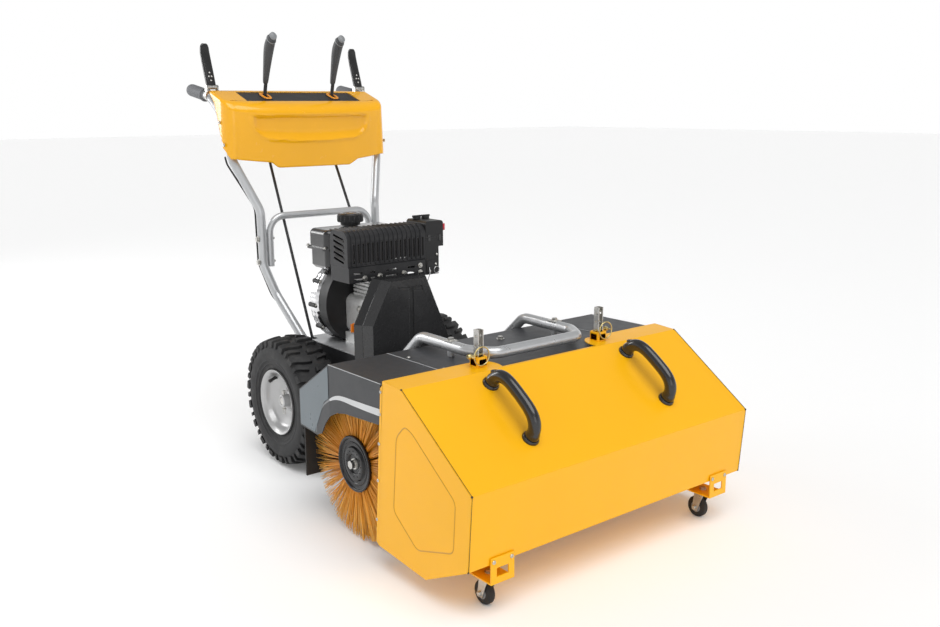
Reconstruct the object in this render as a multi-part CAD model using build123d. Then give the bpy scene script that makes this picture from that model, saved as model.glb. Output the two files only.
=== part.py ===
"""Walk-behind sweeper: two-wheeled power unit with a swivelling brush head and a lift-off collector.

Millimetres, +Z up, +X to the machine's left-to-right as seen from the front, the collector points to -Y.
Everything is laid out with the wheel axle above y = 0, then moved by SHIFT_Y so that the origin is the
centre of the ground rectangle that the machine covers.
"""

from build123d import *
import math
import os

# ---------------------------------------------------------------- driving dimensions
SHIFT_Y = 248.0            # moves the layout frame (axle at y = 0) to the centre of the footprint

TYRE_R = 175.0             # tyre outer radius, lugs included
TYRE_X = (174.0, 284.0)    # inner and outer side of each tyre
RIM_R = 88.0               # rim flange radius (6 inch rim)
BEAD_R = 80.0              # radius of the tyre's bore on the rim
AXLE_R = 10.0
SPROCKET_R = 48.0
HUB_R = 17.0

BOX_X = 140.0              # half width of the chassis box
BOX_Y = (-190.0, 80.0)
BOX_Z = (95.0, 316.0)
SHEET = 3.0                # chassis sheet
HEX = (30.0, 250.0)        # friction drive cross shaft, y and z
DISC_Y = -15.5            # rear face of the friction disc
DISC_R = 58.0
FRICTION_R = 45.0          # friction wheel

TRACTION_BELT_Y = -199.0   # rear face of the traction pulleys
BRUSH_BELT_Y = -215.0      # rear face of the brush pulleys
CRANK_Z = 418.0            # crankshaft axis height (x = 0, along Y)
VOLUTE = (-24.0, 424.0)    # centre of the blower housing's wide side, x and z
BRUSH_IN_Z = 178.0         # brush drive shaft height
COVER_Y = (-240.0, -214.0, -193.0)   # belt cover front, seam to back plate, back

PIVOT_Y = -290.0           # vertical swivel axis of the head
BRUSH = (-529.0, 178.0)    # brush axis, y and z
BRUSH_R = 175.0
BRUSH_X = (34.0, 361.0)    # each brush half

HOOD_X = 404.0             # outer face of the hood sides
HOOD_T = 2.0
HOOD_FRONT = -766.0
HOOD_CREST = -496.0        # where the hood top breaks down to the rear
HOOD_TOP = 406.0
SEAM_X = 250.0             # seams between centre and wing panels

COLL_X = 407.5             # half width of the collector
COLL_T = 2.0
COLL = [(-712.0, 416.0), (-775.0, 412.0), (-993.0, 261.0), (-981.0, 108.0), (-849.0, 42.5), (-683.0, 55.0)]
POST = (180.0, -736.0)     # post centre, x and y
POST_W = 15.0
POST_Z = (296.0, 492.0)
LIFT = 32.0                # travel that draws the posts out of their sleeves
LYNCH_Z = 437.0
CASTER = (326.0, -944.0)   # swivel stem of a caster
CASTER_R = 25.0
TRAIL = 12.0

TUBE_R = 12.5              # handle tube
BAR_R = 10.0               # cross bar tube
GRIP_X = 250.0
GRIP_END = 495.0
LEVER = (110.0, 318.0, 955.0)   # lever pivot
PADDLE = (243.0, 372.0, 1003.0)  # paddle pivot

FIT = 0.05                 # radial running clearance
GAP = 0.5                  # clearance between parts that move past each other


# ---------------------------------------------------------------- helpers
def block(x0, x1, y0, y1, z0, z1):
    """Box between two corners."""
    return Pos((x0 + x1) / 2, (y0 + y1) / 2, (z0 + z1) / 2) * Box(x1 - x0, y1 - y0, z1 - z0)


def face_of(points):
    return make_face(Polyline(*points, close=True))


def prism_x(points, x0, x1):
    """Outline of (y, z) points carried from x0 to x1."""
    return extrude(Plane.YZ.offset(x0) * face_of(points), x1 - x0)


def prism_y(points, y0, y1):
    """Outline of (x, z) points carried from y0 to y1."""
    return extrude(Plane.XZ.offset(-y1) * face_of(points), y1 - y0)


def prism_z(points, z0, z1):
    """Outline of (x, y) points carried from z0 to z1."""
    return extrude(Plane.XY.offset(z0) * face_of(points), z1 - z0)


def rod(a, b, radius):
    """Round bar from point a to point b."""
    axis = Vector(*b) - Vector(*a)
    plane = Plane(origin=a, z_dir=axis)
    return plane * Cylinder(radius, axis.length, align=(Align.CENTER, Align.CENTER, Align.MIN))


def ring(a, b, outer, inner):
    """Round tube from point a to point b."""
    axis = (Vector(*b) - Vector(*a)).normalized()
    low = Vector(*a) - axis
    high = Vector(*b) + axis
    return rod(a, b, outer) - rod(tuple(low), tuple(high), inner)


def bolt(a, b, radius, head=1.8, height=0.8):
    """Shank from a to b with a hexagonal head standing beyond b; head sizes are in shank radii."""
    axis = Vector(*b) - Vector(*a)
    plane = Plane(origin=b, z_dir=axis)
    cap = extrude(plane * RegularPolygon(radius * head, 6), radius * 2 * height)
    return rod(a, b, radius) + cap


def pipe(points, bends, radius, wall=0.0):
    """Bent round tube; wall 0 makes it solid."""
    path = FilletPolyline(*points, radius=bends)
    start = Plane(origin=path @ 0, z_dir=path % 0)
    solid = sweep(start * Circle(radius), path=path)
    if wall:
        solid -= sweep(start * Circle(radius - wall), path=path)
    return solid


def turned_x(points, y, z):
    """Outline of (x, r) points turned about an axis along X through (y, z)."""
    return Pos(0, y, z) * revolve(face_of(points), Axis.X)


def turned_y(points, x, z):
    """Outline of (r, y) points turned about an axis along Y through (x, z)."""
    return Pos(x, 0, z) * revolve(face_of(points), Axis.Y)


def both(shape):
    """The shape and its mirror image on the other side of the machine."""
    return [shape, mirror(shape, Plane.YZ)]


PARTS = {}


def keep(name, *shapes):
    """Collects the solids of one node."""
    solids = []
    for shape in shapes:
        found = shape if isinstance(shape, (list, tuple)) else [shape]
        for item in found:
            solids += item.solids()
    PARTS[name] = solids


# ---------------------------------------------------------------- wheels and axle
def make_wheels():
    x0, x1 = TYRE_X
    section = [(x0 + 10, BEAD_R), (x0 + 10, 92), (x0 + 3, 108), (x0, 125), (x0 + 1, 142), (x0 + 7, 157),
               (x0 + 18, 166), (x1 - 18, 166), (x1 - 7, 157), (x1 - 1, 142), (x1, 125), (x1 - 3, 108),
               (x1 - 10, 92), (x1 - 10, BEAD_R)]
    cavity = [(x0 + 18, BEAD_R - 1), (x0 + 18, 94), (x0 + 11, 110), (x0 + 9, 126), (x0 + 10, 140),
              (x0 + 16, 151), (x0 + 22, 156), (x1 - 22, 156), (x1 - 16, 151), (x1 - 10, 140), (x1 - 9, 126),
              (x1 - 11, 110), (x1 - 18, 94), (x1 - 18, BEAD_R - 1)]
    carcass = turned_x(section, 0, TYRE_R) - turned_x(cavity, 0, TYRE_R)
    middle = (x0 + x1) / 2
    lugs = []
    count = 18
    for row, side in enumerate((-1, 1)):
        for step in range(count):
            angle = 360 / count * step + row * 180 / count
            lug = Pos(middle + side * 26, 0, 168) * Rot(0, 0, side * 24) * Box(44, 20, 20)
            lugs.append(Rot(angle, 0, 0) * lug)
    envelope = turned_x([(x0 + 3, 150), (x0 + 3, 160), (x0 + 14, TYRE_R), (x1 - 14, TYRE_R), (x1 - 3, 160),
                         (x1 - 3, 150)], 0, 0)
    tread = [lug & envelope for lug in lugs]
    tyre = carcass.fuse(*[Pos(0, 0, TYRE_R) * lug for lug in tread])

    dish = [(x0 + 10, RIM_R), (x0 + 6, RIM_R), (x0 + 6, BEAD_R - 4), (x1 - 22, BEAD_R - 4), (x1 - 34, 68),
            (x1 - 42, 48), (x1 - 44, HUB_R + 0.5), (x0 + 8, HUB_R + 0.5), (x0 + 8, AXLE_R), (x1 - 20, AXLE_R),
            (x1 - 20, HUB_R), (x1 - 41, HUB_R + 1), (x1 - 39, 49), (x1 - 30, 70), (x1 - 18, BEAD_R - 3),
            (x1 - 6, 84), (x1 - 3.5, RIM_R), (x1 - 10, RIM_R), (x1 - 10, BEAD_R), (x0 + 10, BEAD_R)]
    rim = turned_x(dish, 0, TYRE_R)
    pin_x = x1 - 28
    pin_hole = rod((pin_x, 0, TYRE_R - 40), (pin_x, 0, TYRE_R + 40), 3.0)
    valve_at = (x1 - 24, 0, TYRE_R + 72)
    valve = rod((valve_at[0] - 8, 0, valve_at[2]), (x1 - 6, 0, valve_at[2]), 4.5)
    valve = Pos(0, 0, TYRE_R) * Rot(-38, 0, 0) * Pos(0, 0, -TYRE_R) * valve
    rim -= pin_hole
    rim += valve
    pin = rod((pin_x, 0, TYRE_R - 24), (pin_x, 0, TYRE_R + 24), 3.0)
    pin += Pos(pin_x, 0, TYRE_R + 25) * Sphere(4.5)
    pin += Pos(pin_x, 0, TYRE_R - 22.5) * Torus(5.0, 1.2)

    keep("tyres", *both(tyre))
    keep("rims", *both(rim))

    shaft = rod((-x1 + 22, 0, TYRE_R), (x1 - 22, 0, TYRE_R), AXLE_R)
    shaft -= pin_hole
    shaft -= mirror(pin_hole, Plane.YZ)
    wheel = sprocket(112, 0, TYRE_R, SPROCKET_R, 24, AXLE_R)
    keep("axle_shaft", shaft + wheel, *both(pin))
    bush = ring((BOX_X - SHEET - 5, 0, TYRE_R), (BOX_X + 8, 0, TYRE_R), 15.0, AXLE_R + FIT)
    bush += ring((BOX_X, 0, TYRE_R), (BOX_X + 4, 0, TYRE_R), 24.0, AXLE_R + FIT)
    return both(bush)


def sprocket(x, y, z, radius, teeth, bore, width=5.0):
    """Flat chain wheel about an axis along X."""
    disc = ring((x - width / 2, y, z), (x + width / 2, y, z), radius, bore)
    for step in range(teeth):
        spot = Rot(360 / teeth * step, 0, 0) * Pos(0, 0, radius + 1.2)
        disc -= Pos(x, y, z) * spot * Rot(0, 90, 0) * Cylinder(3.4, width + 2)
    return disc


def loop_x(x, a, ra, b, rb, thick, width):
    """Closed band round two circles in a plane x = constant: centres a, b as (y, z)."""
    def outline(extra):
        dy, dz = b[0] - a[0], b[1] - a[1]
        span = math.hypot(dy, dz)
        lean = math.asin((ra - rb) / span)
        base = math.atan2(dz, dy)
        pts = []
        for turn in (base + math.pi / 2 - lean, base - math.pi / 2 + lean):
            pts.append([(a[0] + (ra + extra) * math.cos(turn), a[1] + (ra + extra) * math.sin(turn)),
                        (b[0] + (rb + extra) * math.cos(turn), b[1] + (rb + extra) * math.sin(turn))])
        quad = [pts[0][0], pts[0][1], pts[1][1], pts[1][0]]
        body = prism_x(quad, x - width / 2, x + width / 2)
        body += rod((x - width / 2, *a), (x + width / 2, *a), ra + extra)
        body += rod((x - width / 2, *b), (x + width / 2, *b), rb + extra)
        return body
    return outline(thick) - outline(0.0)


def make_transmission():
    """Friction drive inside the chassis box."""
    y, z = HEX
    shaft = extrude(Plane.YZ.offset(-BOX_X + 4) * Pos(y, z) * RegularPolygon(8.0, 6), 2 * BOX_X - 8)
    for side in (-1, 1):
        shaft += rod((side * (BOX_X - 6), y, z), (side * (BOX_X + 2), y, z), 6.0)
    small = 20.0
    keep("hex_shaft", shaft + sprocket(112, y, z, small, 10, 8.0))
    chain = loop_x(112, (0, TYRE_R), SPROCKET_R + GAP, (y, z), small + GAP, 4.0, 6.0)
    hub = rod((-12, y, z), (12, y, z), 14.0)
    hub -= extrude(Plane.YZ.offset(-13) * Pos(y, z) * RegularPolygon(8.0 + FIT, 6), 26)
    wheel = ring((-5, y, z), (5, y, z), FRICTION_R - 10, 13.0)
    keep("friction_wheel", hub + wheel, ring((-5, y, z), (5, y, z), FRICTION_R, FRICTION_R - 10))
    disc = rod((0, DISC_Y - 7, z), (0, DISC_Y, z), DISC_R)
    disc += rod((0, -228, z), (0, DISC_Y - 7, z), 8.0)
    keep("friction_disc", disc + pulley(TRACTION_BELT_Y, 13, z, 30, 8.0))
    bush = ring((0, BOX_Y[0] - 2.5, z), (0, BOX_Y[0] + 18, z), 14.0, 8.0 + FIT)
    return bush, chain


# ---------------------------------------------------------------- chassis
def make_chassis(bushes):
    x, (y0, y1), (z0, z1) = BOX_X, BOX_Y, BOX_Z
    shell = block(-x, x, y0, y1, z0, z1)
    shell -= block(-x + SHEET, x - SHEET, y0 + SHEET, y1 - SHEET, z0 - 1, z1 + 1)
    flange = 16.0
    for side in (-1, 1):
        lip_x = side * (x - SHEET - flange / 2)
        shell += block(lip_x - flange / 2, lip_x + flange / 2, y0 + SHEET, y1 - SHEET, z0, z0 + SHEET)
    openings = [rod((-x - 9, 0, TYRE_R), (x + 9, 0, TYRE_R), 15.0),
                rod((0, y0 - 5, HEX[1]), (0, y0 + 5, HEX[1]), 14.0),
                rod((0, y0 - 5, BRUSH_IN_Z), (0, y0 + 5, BRUSH_IN_Z), 13.0),
                rod((-x - 9, *HEX), (x + 9, *HEX), 6.0 + FIT)]
    for hole in openings:
        shell -= hole
    for hole in handle_bolt_holes():
        shell -= hole

    rod_hole = Pos(RODS[1][0], RODS[1][1] + 8, z1) * Box(16, 44, 30)
    deck = block(-x, x, y0, y1 + 3, z1, z1 + SHEET)
    deck += block(-x, x, y1, y1 + 3, z1 - 12, z1)
    for hole in both(rod_hole):
        deck -= hole
    keep("engine_deck", deck)
    cover = block(-x, x, y0, y1, z0 - 2, z0)
    keep("shaft_bushes", *bushes)

    neck = block(-38, 38, PIVOT_Y - 26, y0, 101, 145)
    neck += rod((0, PIVOT_Y, 101), (0, PIVOT_Y, 145), 30)
    neck -= block(-32, 32, PIVOT_Y + 32, y0 + 1, 107, 139)
    neck -= rod((0, PIVOT_Y, 90), (0, PIVOT_Y, 150), 12.0 + FIT)
    keep("chassis_box", shell, cover, neck)


def handle_bolt_holes():
    """Holes in the box sides for the handle tubes' lower bolts."""
    holes = []
    for y, z in HANDLE_FEET:
        holes += both(rod((BOX_X - 12, y, z), (BOX_X + 20, y, z), 4.2))
    return holes


HANDLE_TOP = [(246.0, 318.0, 940.0), (250.0, 372.0, 978.0), (250.0, 491.0, 997.0)]
HANDLE_FEET = [(22.0, 262.0), (44.0, 290.0)]   # lower bolts, y and z
BAR_BOLTS = (520.0, 585.0)                     # heights of the cross bar's bolts
RODS = [(104.0, 347.0, 872.0), (127.0, 56.0, 300.0)]


def make_handles():
    lower = Vector(BOX_X + TUBE_R + 0.2, 8, 244)
    points = [tuple(lower), (BOX_X + TUBE_R + 0.2, 62, 314), (168, 186, 428), (190, 212, 510),
              (190, 216, 664), (238, 272, 800)] + HANDLE_TOP
    tube = pipe(points, [70, 60, 60, 60, 60, 60, 28], TUBE_R, 2.0)
    holes = [rod((BOX_X - 12, y, z), (BOX_X + 40, y, z), 4.2) for y, z in HANDLE_FEET]
    cross = [rod((150, 214, z), (210, 214, z), 3.7) for z in BAR_BOLTS]
    for hole in holes + cross:
        tube -= hole
    inner = 190 - TUBE_R - BAR_R - 1.6
    bar_path = [(-inner, 214, 506), (-inner, 214, 646), (inner, 214, 646), (inner, 214, 506)]
    bar = pipe(bar_path, 46, BAR_R, 1.8)
    for hole in cross:
        bar -= hole
        bar -= mirror(hole, Plane.YZ)
    keep("handle_tubes", *both(tube), bar)

    bolts = []
    for y, z in HANDLE_FEET:
        bolts += both(bolt((BOX_X - 10, y, z), (BOX_X + 2 * TUBE_R + 1, y, z), 4.0))
    for z in BAR_BOLTS:
        bolts += both(bolt((inner - BAR_R - 3, 214, z), (190 + TUBE_R + 0.5, 214, z), 3.5))
    keep("handle_bolts", *bolts)

    start = Vector(GRIP_X, 372, 978)
    end = Vector(GRIP_X, GRIP_END - 4, 997)
    along = (end - start).normalized()
    a = start + along * 28
    b = end + along * 4
    grip = rod(tuple(a), tuple(b), 17.5)
    grip = fillet(grip.edges(), 5.0)
    grip -= rod(tuple(start), tuple(end + along * 0.4), TUBE_R + 0.1)
    keep("grips", *both(grip))


# ---------------------------------------------------------------- control panel
def make_panel():
    side = [(240, 806), (236, 925), (242, 950), (262, 962), (350, 993), (354, 986), (326, 962), (309, 927),
            (288, 865), (279, 838), (262, 812), (252, 806)]
    brow = [(222, 806), (222, 925), (240, 953), (262, 962), (262, 806)]
    outline = [(-264, 356), (-264, 280), (-259, 264), (-240, 249), (-150, 232), (0, 226), (150, 232),
               (240, 249), (259, 264), (264, 280), (264, 356)]

    def block_of(inset):
        body = prism_x(side, -264 + inset, 264 - inset)
        body += prism_x(brow, -264 + inset, 264 - inset)
        plan = [(px * (1 - inset / 264), py + inset) for px, py in outline]
        return body & prism_z(plan, 700, 1020)
    skirt = prism_y([(-112, 784), (-104, 780), (130, 780), (138, 784), (150, 812), (-124, 812)], 228, 252)
    outer = block_of(0.0) + (skirt & prism_z(outline, 700, 1020))
    behind = [(282, 700), (282, 968.9), (350, 993), (362, 983), (400, 983), (400, 700)]
    inner = block_of(3.0) + prism_x(behind, -261, 261)
    shell = outer - (Pos(0, 0, -3.0) * inner)
    shell -= block(-186, 186, 270, 345, 940, 1010)
    keep("control_panel", shell.solids().sort_by(SortBy.VOLUME)[-1])

    slope = 0.346
    insert = prism_x([(270.5, 958), (270.5, 963), (344.5, 988.6), (344.5, 983.6)], -185.5, 185.5)
    for x in (-LEVER[0], LEVER[0]):
        insert -= block(x - 13, x + 13, LEVER[1] - 30, LEVER[1] + 12, 940, 1010)
    gates = []
    for x in (-LEVER[0], LEVER[0]):
        near, far = LEVER[1] - 29.8, LEVER[1] + 11.8
        low, high = 965 + slope * (near - 270.5), 965 + slope * (far - 270.5)
        gate = prism_x([(near, low - 7), (near, low), (far, high), (far, high - 7)], x - 12.8, x + 12.8)
        gate -= block(x - 7.5, x + 7.5, LEVER[1] - 27.5, LEVER[1] + 9.5, 940, 1010)
        gates.append(gate)
    keep("panel_insert", insert, *gates)
    bracket = block(-200, 200, 300, 334, 905, 908)
    for x in (-LEVER[0], LEVER[0]):
        bracket -= block(x - 16, x + 16, 290, 350, 900, 912)
        for ear in (-1, 1):
            bracket += block(x + ear * 14 - 1.5, x + ear * 14 + 1.5, 300, 334, 905, LEVER[2] + 9)
        bracket -= rod((x - 20, LEVER[1], LEVER[2]), (x + 20, LEVER[1], LEVER[2]), 5.0 + FIT)
    for side_x in (-1, 1):
        bracket += block(side_x * 214 - 18, side_x * 214 + 18, 300, 334, 905, 908)
    return bracket


def make_lever(x):
    """One dash lever with its pivot boss, stem and moulded handle."""
    px, py, pz = LEVER
    boss = rod((x - 11, py, pz), (x + 11, py, pz), 9.0)
    pin = rod((x - 19, py, pz), (x + 19, py, pz), 5.0)
    top = (x, py - 34, pz + 92)
    stem = rod((x, py, pz), top, 5.0)
    arm = block(x - 3, x + 3, py - 4, py + 26, pz - 6, pz + 3)
    return boss + pin + stem + arm


def make_lever_grip(x):
    px, py, pz = LEVER
    base = Vector(x, py - 22, pz + 60)
    tip = Vector(x, py - 70, pz + 190)
    axis = (tip - base).normalized()
    sections = [(0.0, 9.0), (0.35, 13.0), (0.72, 15.5), (0.92, 14.0), (1.0, 10.5)]
    length = (tip - base).length
    faces = []
    for share, radius in sections:
        spot = Plane(origin=tuple(base + axis * (length * share)), z_dir=tuple(axis))
        faces.append(spot * Circle(radius))
    grip = loft(faces)
    return grip


def make_levers():
    for name, x in (("gear", -LEVER[0]), ("angle", LEVER[0])):
        lever = make_lever(x)
        grip = make_lever_grip(x) - lever
        keep(name + "_lever", lever, grip)


def make_paddles(lever_bracket):
    x, y, z = PADDLE
    tip = Vector(0, 44, 122)
    along = tip.normalized()
    width = 24.0
    outward = Vector(0, -along.Z, along.Y)
    blade_plane = Plane(origin=(x, y, z), x_dir=(1, 0, 0), z_dir=tuple(outward))
    length = tip.length
    outline = SlotOverall(length + 16, width, rotation=90)
    blade = extrude(blade_plane * Pos(0, length / 2 + 4) * outline, 5.0)
    paddle = blade + rod((x - 13, y, z), (x + 13, y, z), 6.6)
    for edge in (-10.5, 10.5):
        paddle += extrude(blade_plane * Pos(edge, length * 0.5) * Rectangle(3.0, length * 0.86), -8.0)
    for share in (0.2, 0.3, 0.42):
        hole = blade_plane * Pos(1, length * share) * Cylinder(2.2, 30)
        paddle -= hole
    paddle -= rod((x - 20, y, z), (x + 20, y, z), 4.0 + FIT)
    keep("paddle_left", mirror(paddle, Plane.YZ))
    keep("paddle_right", paddle)
    clamp = ring((GRIP_X, y - 6, z - 24.2), (GRIP_X, y + 6, z - 22.3), TUBE_R + 3, TUBE_R + 0.1)
    clamp -= rod((GRIP_X, y - 30, z - 28.0), (GRIP_X, y + 30, z - 18.5), TUBE_R + 0.1)
    clamp += rod((x - 17, y, z), (x + 17, y, z), 4.0)
    clamp += block(x - 18, x + 18, y - 7, y + 7, z - 20, z - 17)
    for side in (-1, 1):
        ear = block(x + side * 16 - 2, x + side * 16 + 2, y - 7, y + 7, z - 17, z)
        ear += rod((x + side * 16 - 2, y, z), (x + side * 16 + 2, y, z), 7.0)
        clamp += ear
    clamp -= pipe(HANDLE_TOP, [28], TUBE_R + 0.1)
    keep("control_brackets", lever_bracket, *both(clamp))


# ---------------------------------------------------------------- rods and cables
def make_controls():
    top, low = RODS
    eye = (top[0], top[1] + 3, top[2] + 64)
    bar = pipe([low, top, eye], [30], 4.0)
    bar += Pos(*eye) * Sphere(7.0)
    keep("gear_rod", mirror(bar, Plane.YZ))
    keep("angle_rod", bar)
    route = [(248, 300, 812), (248, 290, 792), (197, 235, 672), (197, 231, 516), (172, 209, 424),
             (118, BOX_Y[1] + 2, 287)]
    cable = pipe(route, [40, 60, 60, 60], 2.5)
    keep("clutch_cables", *both(cable))


# ---------------------------------------------------------------- engine
KNOBS = {"choke_knob": (130.0, -86.0), "throttle_knob": (160.0, -86.0)}   # control knobs, x and y


def make_engine():
    y_front = -165.0
    case = block(-78, 70, y_front, -42, 345, 452)
    case = fillet(case.edges().filter_by(Axis.Y), 22)
    case += rod((0, -178, CRANK_Z - 12), (0, y_front + 5, CRANK_Z - 12), 52)
    case += block(-84, 76, y_front + 8, -44, 319, 349)
    case -= rod((0, -190, CRANK_Z), (0, -30, CRANK_Z), 14.0)
    case -= rod((-90, -110, 372), (-60, -110, 372), 9.0)

    head = block(-62, 58, -132, -56, 452, 512)
    for level in range(5):
        z = 458 + level * 10
        head -= block(-70, 66, -140, -126, z, z + 4)
        head -= block(-70, 66, -62, -50, z, z + 4)
        head -= block(-70, -54, -140, -50, z, z + 4)

    shroud = rod((0, -42, CRANK_Z), (0, 34, CRANK_Z), 104)
    shroud += rod((VOLUTE[0], -42, VOLUTE[1]), (VOLUTE[0], 34, VOLUTE[1]), 116)
    shroud += block(-88, 84, -42, 34, CRANK_Z, 518)
    shroud -= rod((0, -38, CRANK_Z), (0, 40, CRANK_Z), 98)
    shroud -= rod((VOLUTE[0], -38, VOLUTE[1]), (VOLUTE[0], 40, VOLUTE[1]), 110)
    shroud -= block(-82, 78, -38, 40, CRANK_Z + 20, 512)
    shroud -= rod((0, -50, CRANK_Z), (0, -30, CRANK_Z), 40)
    shroud -= block(-200, 200, -60, 60, 200, 320)
    shroud -= block(-200, 200, -60, 60, 518, 600)
    keep("blower_housing", shroud)

    dome = [(104, 34), (104, 44), (92, 58), (60, 66), (18, 68), (18, 62), (58, 60), (88, 52), (99, 42),
            (99, 34)]
    cover = turned_y(dome, 0, CRANK_Z)
    for step in range(12):
        slot = Pos(0, 60, CRANK_Z) * Rot(0, 30 * step, 0) * Pos(0, 0, 42) * Box(7, 30, 26)
        cover -= slot
    flange = rod((VOLUTE[0], 34, VOLUTE[1]), (VOLUTE[0], 40, VOLUTE[1]), 118)
    cover += flange - rod((0, 30, CRANK_Z), (0, 50, CRANK_Z), 99)
    cover -= block(-200, 200, 20, 90, 200, 320)
    cover -= block(-200, 200, 20, 90, 518, 600)
    cover += rod((0, 60, CRANK_Z), (0, 68, CRANK_Z), 24)
    keep("recoil_cover", cover)
    handle_y = 66.0
    toggle = rod((44, handle_y + 13, CRANK_Z + 62), (84, handle_y + 13, CRANK_Z + 62), 8.0)
    toggle = fillet(toggle.edges(), 3.0)
    toggle += rod((64, handle_y + 1, CRANK_Z + 62), (64, handle_y + 13, CRANK_Z + 62), 5.0)
    keep("recoil_handle", toggle)

    fan = rod((0, -28, CRANK_Z), (0, -8, CRANK_Z), 84)
    for step in range(16):
        blade = Pos(0, 0, CRANK_Z) * Rot(0, 22.5 * step, 0) * Pos(0, 2, 70) * Box(4, 22, 26)
        fan += blade
    shaft = rod((0, -232, CRANK_Z), (0, -28, CRANK_Z), 9.0)
    shaft += pulley(TRACTION_BELT_Y, 13, CRANK_Z, 34, 9.0)
    shaft += pulley(BRUSH_BELT_Y, 13, CRANK_Z, 34, 9.0)
    keep("crankshaft", shaft, fan)

    x0, x1, y0, y1 = -134.0, 96.0, -46.0, 54.0
    tank_low = block(x0 + 3, x1 - 3, y0 + 3, y1 - 3, 522, 574)
    tank_low = fillet(tank_low.edges().filter_by(Axis.Z), 16)
    tank_low = chamfer(tank_low.edges().group_by(Axis.Z)[0], 8)
    tank_up = block(x0, x1, y0, y1, 580, 628)
    tank_up = fillet(tank_up.edges().filter_by(Axis.Z), 18)
    tank_up = fillet(tank_up.edges().group_by(Axis.Z)[-1], 14)
    seam = block(x0 - 7, x1 + 7, y0 - 6, y1 + 7, 574, 580)
    seam = fillet(seam.edges().filter_by(Axis.Z), 20)
    tank = tank_low + seam + tank_up
    neck = ring((-26, 8, 624), (-26, 8, 640), 21.0, 17.0)
    tank = tank + neck
    tank -= rod((-26, 8, 600), (-26, 8, 632), 17.0)
    keep("fuel_tank", tank)
    cap = rod((-26, 8, 640.5), (-26, 8, 662), 35.0)
    cap = fillet(cap.edges().group_by(Axis.Z)[-1], 4)
    cap += ring((-26, 8, 632), (-26, 8, 642), 27.0, 21.5)
    for step in range(16):
        cap -= Pos(-26, 8, 651) * Rot(0, 0, 22.5 * step) * Pos(36.5, 0, 0) * Cylinder(3.0, 14)
    keep("fuel_cap", cap)

    shield_x = (-131.0, 116.0)
    shield_y = (-146.0, -56.0)
    shield_z = (540.0, 634.0)
    outer = block(*shield_x, *shield_y, *shield_z)
    outer = fillet(outer.edges().filter_by(Axis.X).group_by(Axis.Z)[-1], 26)
    inner = block(shield_x[0] + 3, shield_x[1] - 3, shield_y[0] + 3, shield_y[1] - 3, shield_z[0] - 1,
                  shield_z[1] - 3)
    inner = fillet(inner.edges().filter_by(Axis.X).group_by(Axis.Z)[-1], 23)
    shield = outer - inner
    pitch = 14.6
    cutters = []
    for step in range(16):
        x = shield_x[0] + 18 + pitch * step
        cutters.append(Pos(x, shield_y[0], 576) * Box(5, 12, 50))
        cutters.append(Pos(x, shield_y[0] + 48, shield_z[1]) * Box(6, 40, 12))
    for step in range(5):
        z = 556 + 15 * step
        cutters.append(Pos(shield_x[0], -100, z) * Rot(12, 0, 0) * Box(12, 50, 6))
    shield = shield.cut(*cutters)
    muffler = block(-100, 110, -136, -66, 548, 618)
    muffler = fillet(muffler.edges().filter_by(Axis.X), 26)
    keep("engine_block", case, head, muffler)

    strip = block(-128, 112, -150, -146, 500, 540)
    strip += block(-128, 112, -146, -100, 536, 540)
    strip += block(-132, -128, -150, -60, 500, 540)
    for x, half in ((-104, 14), (-58, 8), (0, 18), (64, 12)):
        for z in (509, 524):
            strip -= Pos(x, -148, z) * Box(2 * half, 10, 5)
    keep("heat_shield", shield, strip)

    air = block(116.5, 176, -146, -56, 572, 643)
    air = fillet(air.edges().filter_by(Axis.Y).group_by(Axis.Z)[-1], 9)
    air += block(116.5, 160, -146, -60, 496, 572)
    air += block(80, 116.5, -126, -66, 506, 530)
    keep("carburettor_cover", air)
    red = rod((176.5, -132, 622), (185, -132, 622), 11.0)
    red = fillet(red.edges().group_by(Axis.X)[-1], 3)
    red += block(184, 191, -134.5, -129.5, 613, 631)
    keep("stop_switch", red)
    for name, (x, y) in KNOBS.items():
        knob = rod((x, y, 643.5), (x, y, 650), 11.0)
        knob += block(x - 13, x + 13, y - 3, y + 3, 649, 654)
        keep(name, knob)
    oil = rod((-85.5, -110, 372), (-60.5, -110, 372), 8.5)
    oil += rod((-98, -110, 372), (-84.5, -110, 372), 13.0)
    oil += block(-106, -97, -113, -107, 361, 383)
    keep("oil_cap", oil)


def case_outline(half_top, half_low, top, low, inset):
    """Front view of the belt case in (x, z): a sloping right side that starts lower than the left one."""
    half_top -= inset
    half_low -= inset
    top -= inset
    low += inset
    knee = 402.0
    return [(-half_top - 8, top), (half_top - 8, top), (half_low, knee - 62), (half_low, low),
            (-half_low, low), (-half_low, knee)]


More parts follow.
